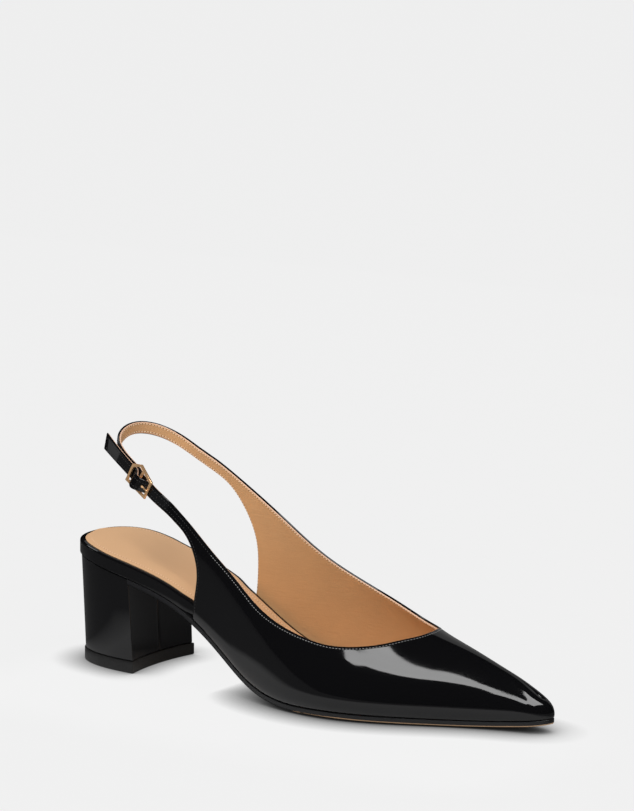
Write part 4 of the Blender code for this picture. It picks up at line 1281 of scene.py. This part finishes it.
class PUMP_OT_buckle(bpy.types.Operator):
    """Build the hexagonal buckle with its centre bar and prong, and the strap's spare holes"""

    bl_idname = "pump.buckle"
    bl_label = "Buckle"

    def execute(self, context):
        plane = buckle_plane()
        mesh_data = bmesh.new()
        rings = [in_plane(buckle_outline(margin), height, plane) for margin, height in bar_section()]
        layered(mesh_data, rings + rings[:1])
        rod = [[in_plane([(ROD_SHARES[0] * BAR_WIDTH * x, y)], ROD_SHARES[1] * BAR_THICKNESS * z,
                         plane)[0] for x, z in circle(ROD_FACETS)]
               for y in buckle_reach(BAR_WIDTH * ROD_MARGIN)]
        layered(mesh_data, rod)
        closed(mesh_data)
        piece("buckle_hexagon", mesh_data, ["rose_metal"], ["buckle_frame"])
        root = PRONG_ROOT * BUCKLE_HALF_LENGTH
        place = np.array([BUCKLE_PLACE + root])
        base, _, _, normal = sling_frame(place)
        face = base[0] + normal[0] * (layer_height(FREE_LAYER, place) + arch_height(place, 0.5))[0]
        low = np.dot(face - plane[0], plane[3])
        rest = BAR_THICKNESS / 2 + PRONG_REST
        path = spline(PRONG_KNOTS, (
            (root - 0.7 * MM, low - 0.5 * MM), (root, low + 0.45 * MM),
            (BUCKLE_HALF_LENGTH - 2.6 * MM, max(low, rest) + 0.1 * MM),
            (BUCKLE_HALF_LENGTH - 0.7 * MM, rest + 0.15 * MM),
            (BUCKLE_HALF_LENGTH + 0.15 * MM, rest)))
        rings = []
        for share in np.linspace(0, 1, PRONG_RINGS):
            x, z = path(share)
            ahead = unit(path(share + 0.01) - path(share - 0.01))
            radius = prong_radius(share)
            rings.append([
                in_plane([(x - PRONG_FLAT * radius * over * ahead[1], radius * side)],
                         z + PRONG_FLAT * radius * over * ahead[0], plane)[0]
                for side, over in circle(PRONG_FACETS)])
        lofted("buckle_tongue", rings, "rose_metal", ["buckle_prong"])
        radius = context.scene.pump_sizes.strap_hole
        mesh_data = bmesh.new()
        for past in HOLE_PLACES:
            place = np.array([BUCKLE_PLACE + past])
            middle, run, _, normal = (value[0] for value in sling_frame(place))
            middle = middle + normal * layer_height(FREE_LAYER, place)
            across = np.cross(normal, run)
            rings = [[middle + radius * share * (run * x + across * y) + normal * rise * MM
                      for x, y in circle(HOLE_FACETS)] for share, rise in HOLE_SECTION]
            layered(mesh_data, rings)
        closed(mesh_data)
        piece("strap_holes", mesh_data, ["sole_edge"])
        return {"FINISHED"}


# Photograph's frame: 634 by 811 pixels, its long side on a 36 mm sensor
CAMERA_PLACE = (0.9419, -1.2386, 0.3873)
CAMERA_RIGHT = (0.8268, 0.5624, 0.0126)
CAMERA_DOWN = (0.1059, -0.1337, -0.9854)
CAMERA_LENS = 153.64
CAMERA_SENSOR = 36.0
CAMERA_NEAR = 0.05

# Lamps: name, place, width and height in metres, the point that they face, and brightness. The
# key light lights the shoe, and the others are seen by the gloss alone
KEY = "key_light"
LAMPS = (
    ("rear_box", (-0.85, 0.35, 1.30), (0.50, 0.60), (-0.85, 0.35, 0.0), 3.0),
    ("side_card", (-1.04, -0.60, 0.12), (0.26, 0.22), (0.05, 0.0, 0.12), 0.5),
    ("back_card", (-0.10, 1.20, 0.45), (1.50, 1.00), (-0.10, 0.0, 0.45), 0.2),
    (KEY, (-0.1, -0.8, 1.5), (0.8, 0.8), (0.08, 0.0, 0.04), 10.0),
)
SKY = 0.55

# Corners and height of the glowing panel over the toe, whose reflection is the vamp's stripe
PANEL = (
    (0.37, 0.10), (0.40, -0.30), (0.455, -0.60), (0.45, -0.78), (0.37, -0.90), (0.35, -1.42),
    (0.45, -1.42), (0.54, -1.16), (0.72, -1.02), (1.02, -1.00), (1.02, 0.10),
)
PANEL_HEIGHT = 1.2
PANEL_BRIGHTNESS = 6.3
PANEL_NOISE = (2.0, 1.0)
PANEL_MOTTLE = 0.2

# The glowing floor: half its side, how far it and the card lie below the shoe, its tone and
# mottle, and the shade near what stands on it
FLOOR_HALF = 12.0
FLOOR_DROP = 0.1 * MM
CARD_DROP = 0.05 * MM
FLOOR_GLOW = 0.856
FLOOR_NOISE = (60, 2.0)
FLOOR_MOTTLE = 0.004
SHADE_REACH = 0.017
SHADE_DEPTH = 1.7
SHADE_SAMPLES = 16
DULL = 0.9
BLACK = (0.0, 0.0, 0.0)

# Paper that the gloss sees below the shoe: its middle, half sizes, fade and tones
CARD_SIZE = 1.2
CARD_MIDDLE = (0.11, -0.045)
CARD_HALF = (0.11, 0.03)
CARD_REACH = 0.045
CARD_FADE = 0.03
CARD_TONE = 0.47
CARD_SURROUND = 0.07


def stage_object(name, mesh_data):
    """A stage object of a finished bmesh."""
    mesh = bpy.data.meshes.new(name)
    mesh_data.to_mesh(mesh)
    mesh_data.free()
    thing = bpy.data.objects.new(name, mesh)
    bpy.context.scene.collection.objects.link(thing)
    return thing


def stage_sheet(name, size, height):
    """A flat square of the stage, lying at a height."""
    mesh_data = bmesh.new()
    bmesh.ops.create_grid(
        mesh_data, x_segments=1, y_segments=1, size=size, calc_uvs=False,
        matrix=Matrix.Translation((0, 0, height)))
    return stage_object(name, mesh_data)


def hidden(thing):
    """Leave a stage object to the gloss alone."""
    thing.visible_camera = False
    thing.visible_diffuse = False
    thing.visible_shadow = False


class PUMP_OT_stage(bpy.types.Operator):
    """Set the pale floor, the lamps and panel, and the camera at the photograph's angle"""

    bl_idname = "pump.stage"
    bl_label = "Stage"

    def execute(self, context):
        scene = context.scene
        scene.view_settings.view_transform = "Standard"
        floor = stage_sheet("floor", FLOOR_HALF, -FLOOR_DROP)
        glow = Finish("floor_glow", BLACK, roughness=DULL, emission_strength=1.0)
        near = glow.node("ShaderNodeAmbientOcclusion", {"Distance": SHADE_REACH}, output="AO",
                         samples=SHADE_SAMPLES)
        paper = glow.noise(*FLOOR_NOISE) * FLOOR_MOTTLE + FLOOR_GLOW
        glow.grey("Emission Color", (near ** SHADE_DEPTH) * paper)
        floor.data.materials.append(glow.material)
        floor.visible_glossy = False
        card = stage_sheet("floor_card", CARD_SIZE, -CARD_DROP)
        paper = Finish("card_paper", BLACK, roughness=DULL)
        at = paper.node("ShaderNodeTexCoord", output="Object")
        past = [
            ((paper.node("ShaderNodeSeparateXYZ", {0: at}, output=axis) - middle).math("ABSOLUTE")
             - half).math("MAXIMUM", 0.0)
            for axis, middle, half in zip("XY", CARD_MIDDLE, CARD_HALF)]
        off = (past[0] * past[0] + past[1] * past[1]) ** 0.5
        share = ((CARD_REACH - off) / CARD_FADE).math("MINIMUM", 1.0).math("MAXIMUM", 0.0)
        paper.grey("Base Color", share * (CARD_TONE - CARD_SURROUND) + CARD_SURROUND)
        card.data.materials.append(paper.material)
        hidden(card)
        mesh_data = bmesh.new()
        corners = bmesh.ops.create_circle(mesh_data, cap_ends=True, segments=len(PANEL), radius=1)
        for vert, (x, y) in zip(corners["verts"], PANEL):
            vert.co = (x, y, PANEL_HEIGHT)
        panel = stage_object("panel", mesh_data)
        glow = Finish("panel_glow", BLACK, roughness=DULL, emission_strength=PANEL_BRIGHTNESS)
        glow.grey("Emission Color",
                  glow.noise(*PANEL_NOISE) * PANEL_MOTTLE + (1 - PANEL_MOTTLE / 2))
        panel.data.materials.append(glow.material)
        hidden(panel)
        world = scene.world or bpy.data.worlds.new("studio")
        scene.world = world
        world.use_nodes = True
        shade = world.node_tree.nodes["Background"]
        shade.inputs["Color"].default_value = (1, 1, 1, 1)
        shade.inputs["Strength"].default_value = SKY
        world.cycles_visibility.glossy = False
        for name, place, size, target, brightness in LAMPS:
            lamp = bpy.data.lights.new(name, "AREA")
            lamp.shape = "RECTANGLE"
            lamp.size, lamp.size_y = size
            lamp.energy = math.pi * size[0] * size[1] * brightness
            box = bpy.data.objects.new(name, lamp)
            box.location = place
            box.rotation_euler = (Vector(target) - Vector(place)).to_track_quat("-Z", "Y").to_euler()
            box.visible_diffuse = name == KEY
            box.visible_glossy = name != KEY
            scene.collection.objects.link(box)
        data = bpy.data.cameras.new("camera")
        data.sensor_width = CAMERA_SENSOR
        data.lens = CAMERA_LENS
        data.clip_start = CAMERA_NEAR
        camera = bpy.data.objects.new("camera", data)
        right, up = Vector(CAMERA_RIGHT).normalized(), -Vector(CAMERA_DOWN).normalized()
        back = right.cross(up).normalized()
        turn = Matrix((right, back.cross(right), back)).transposed().to_4x4()
        turn.translation = CAMERA_PLACE
        camera.matrix_world = turn
        scene.collection.objects.link(camera)
        scene.camera = camera
        return {"FINISHED"}


class PUMP_PT_panel(bpy.types.Panel):
    """The pump's pieces, sizes and colours in the sidebar"""

    bl_idname = "PUMP_PT_panel"
    bl_label = "Slingback pump"
    bl_space_type = "VIEW_3D"
    bl_region_type = "UI"
    bl_category = "Pump"

    def draw(self, context):
        layout = self.layout
        for operator in OPERATORS:
            layout.operator(operator.bl_idname)
        for group in (context.scene.pump_sizes, context.scene.pump_colours):
            box = layout.box()
            for name in group.__annotations__:
                box.prop(group, name)


OPERATORS = (
    PUMP_OT_upper, PUMP_OT_upper_stitches, PUMP_OT_insole, PUMP_OT_outsole, PUMP_OT_heel,
    PUMP_OT_buckle, PUMP_OT_stage,
)
CLASSES = (PumpSizes, PumpColours, *OPERATORS, PUMP_PT_panel)


def register():
    """Register the classes and the scene's properties."""
    for kind in CLASSES:
        bpy.utils.register_class(kind)
    bpy.types.Scene.pump_sizes = PointerProperty(type=PumpSizes)
    bpy.types.Scene.pump_colours = PointerProperty(type=PumpColours)


def unregister():
    """Remove the scene's properties and the classes."""
    del bpy.types.Scene.pump_colours
    del bpy.types.Scene.pump_sizes
    for kind in reversed(CLASSES):
        bpy.utils.unregister_class(kind)


def main():
    """Build the pump on its stage."""
    register()
    bpy.ops.pump.upper()
    bpy.ops.pump.upper_stitches()
    bpy.ops.pump.insole()
    bpy.ops.pump.outsole()
    bpy.ops.pump.heel()
    bpy.ops.pump.buckle()
    bpy.ops.pump.stage()


if __name__ == "__main__":
    main()
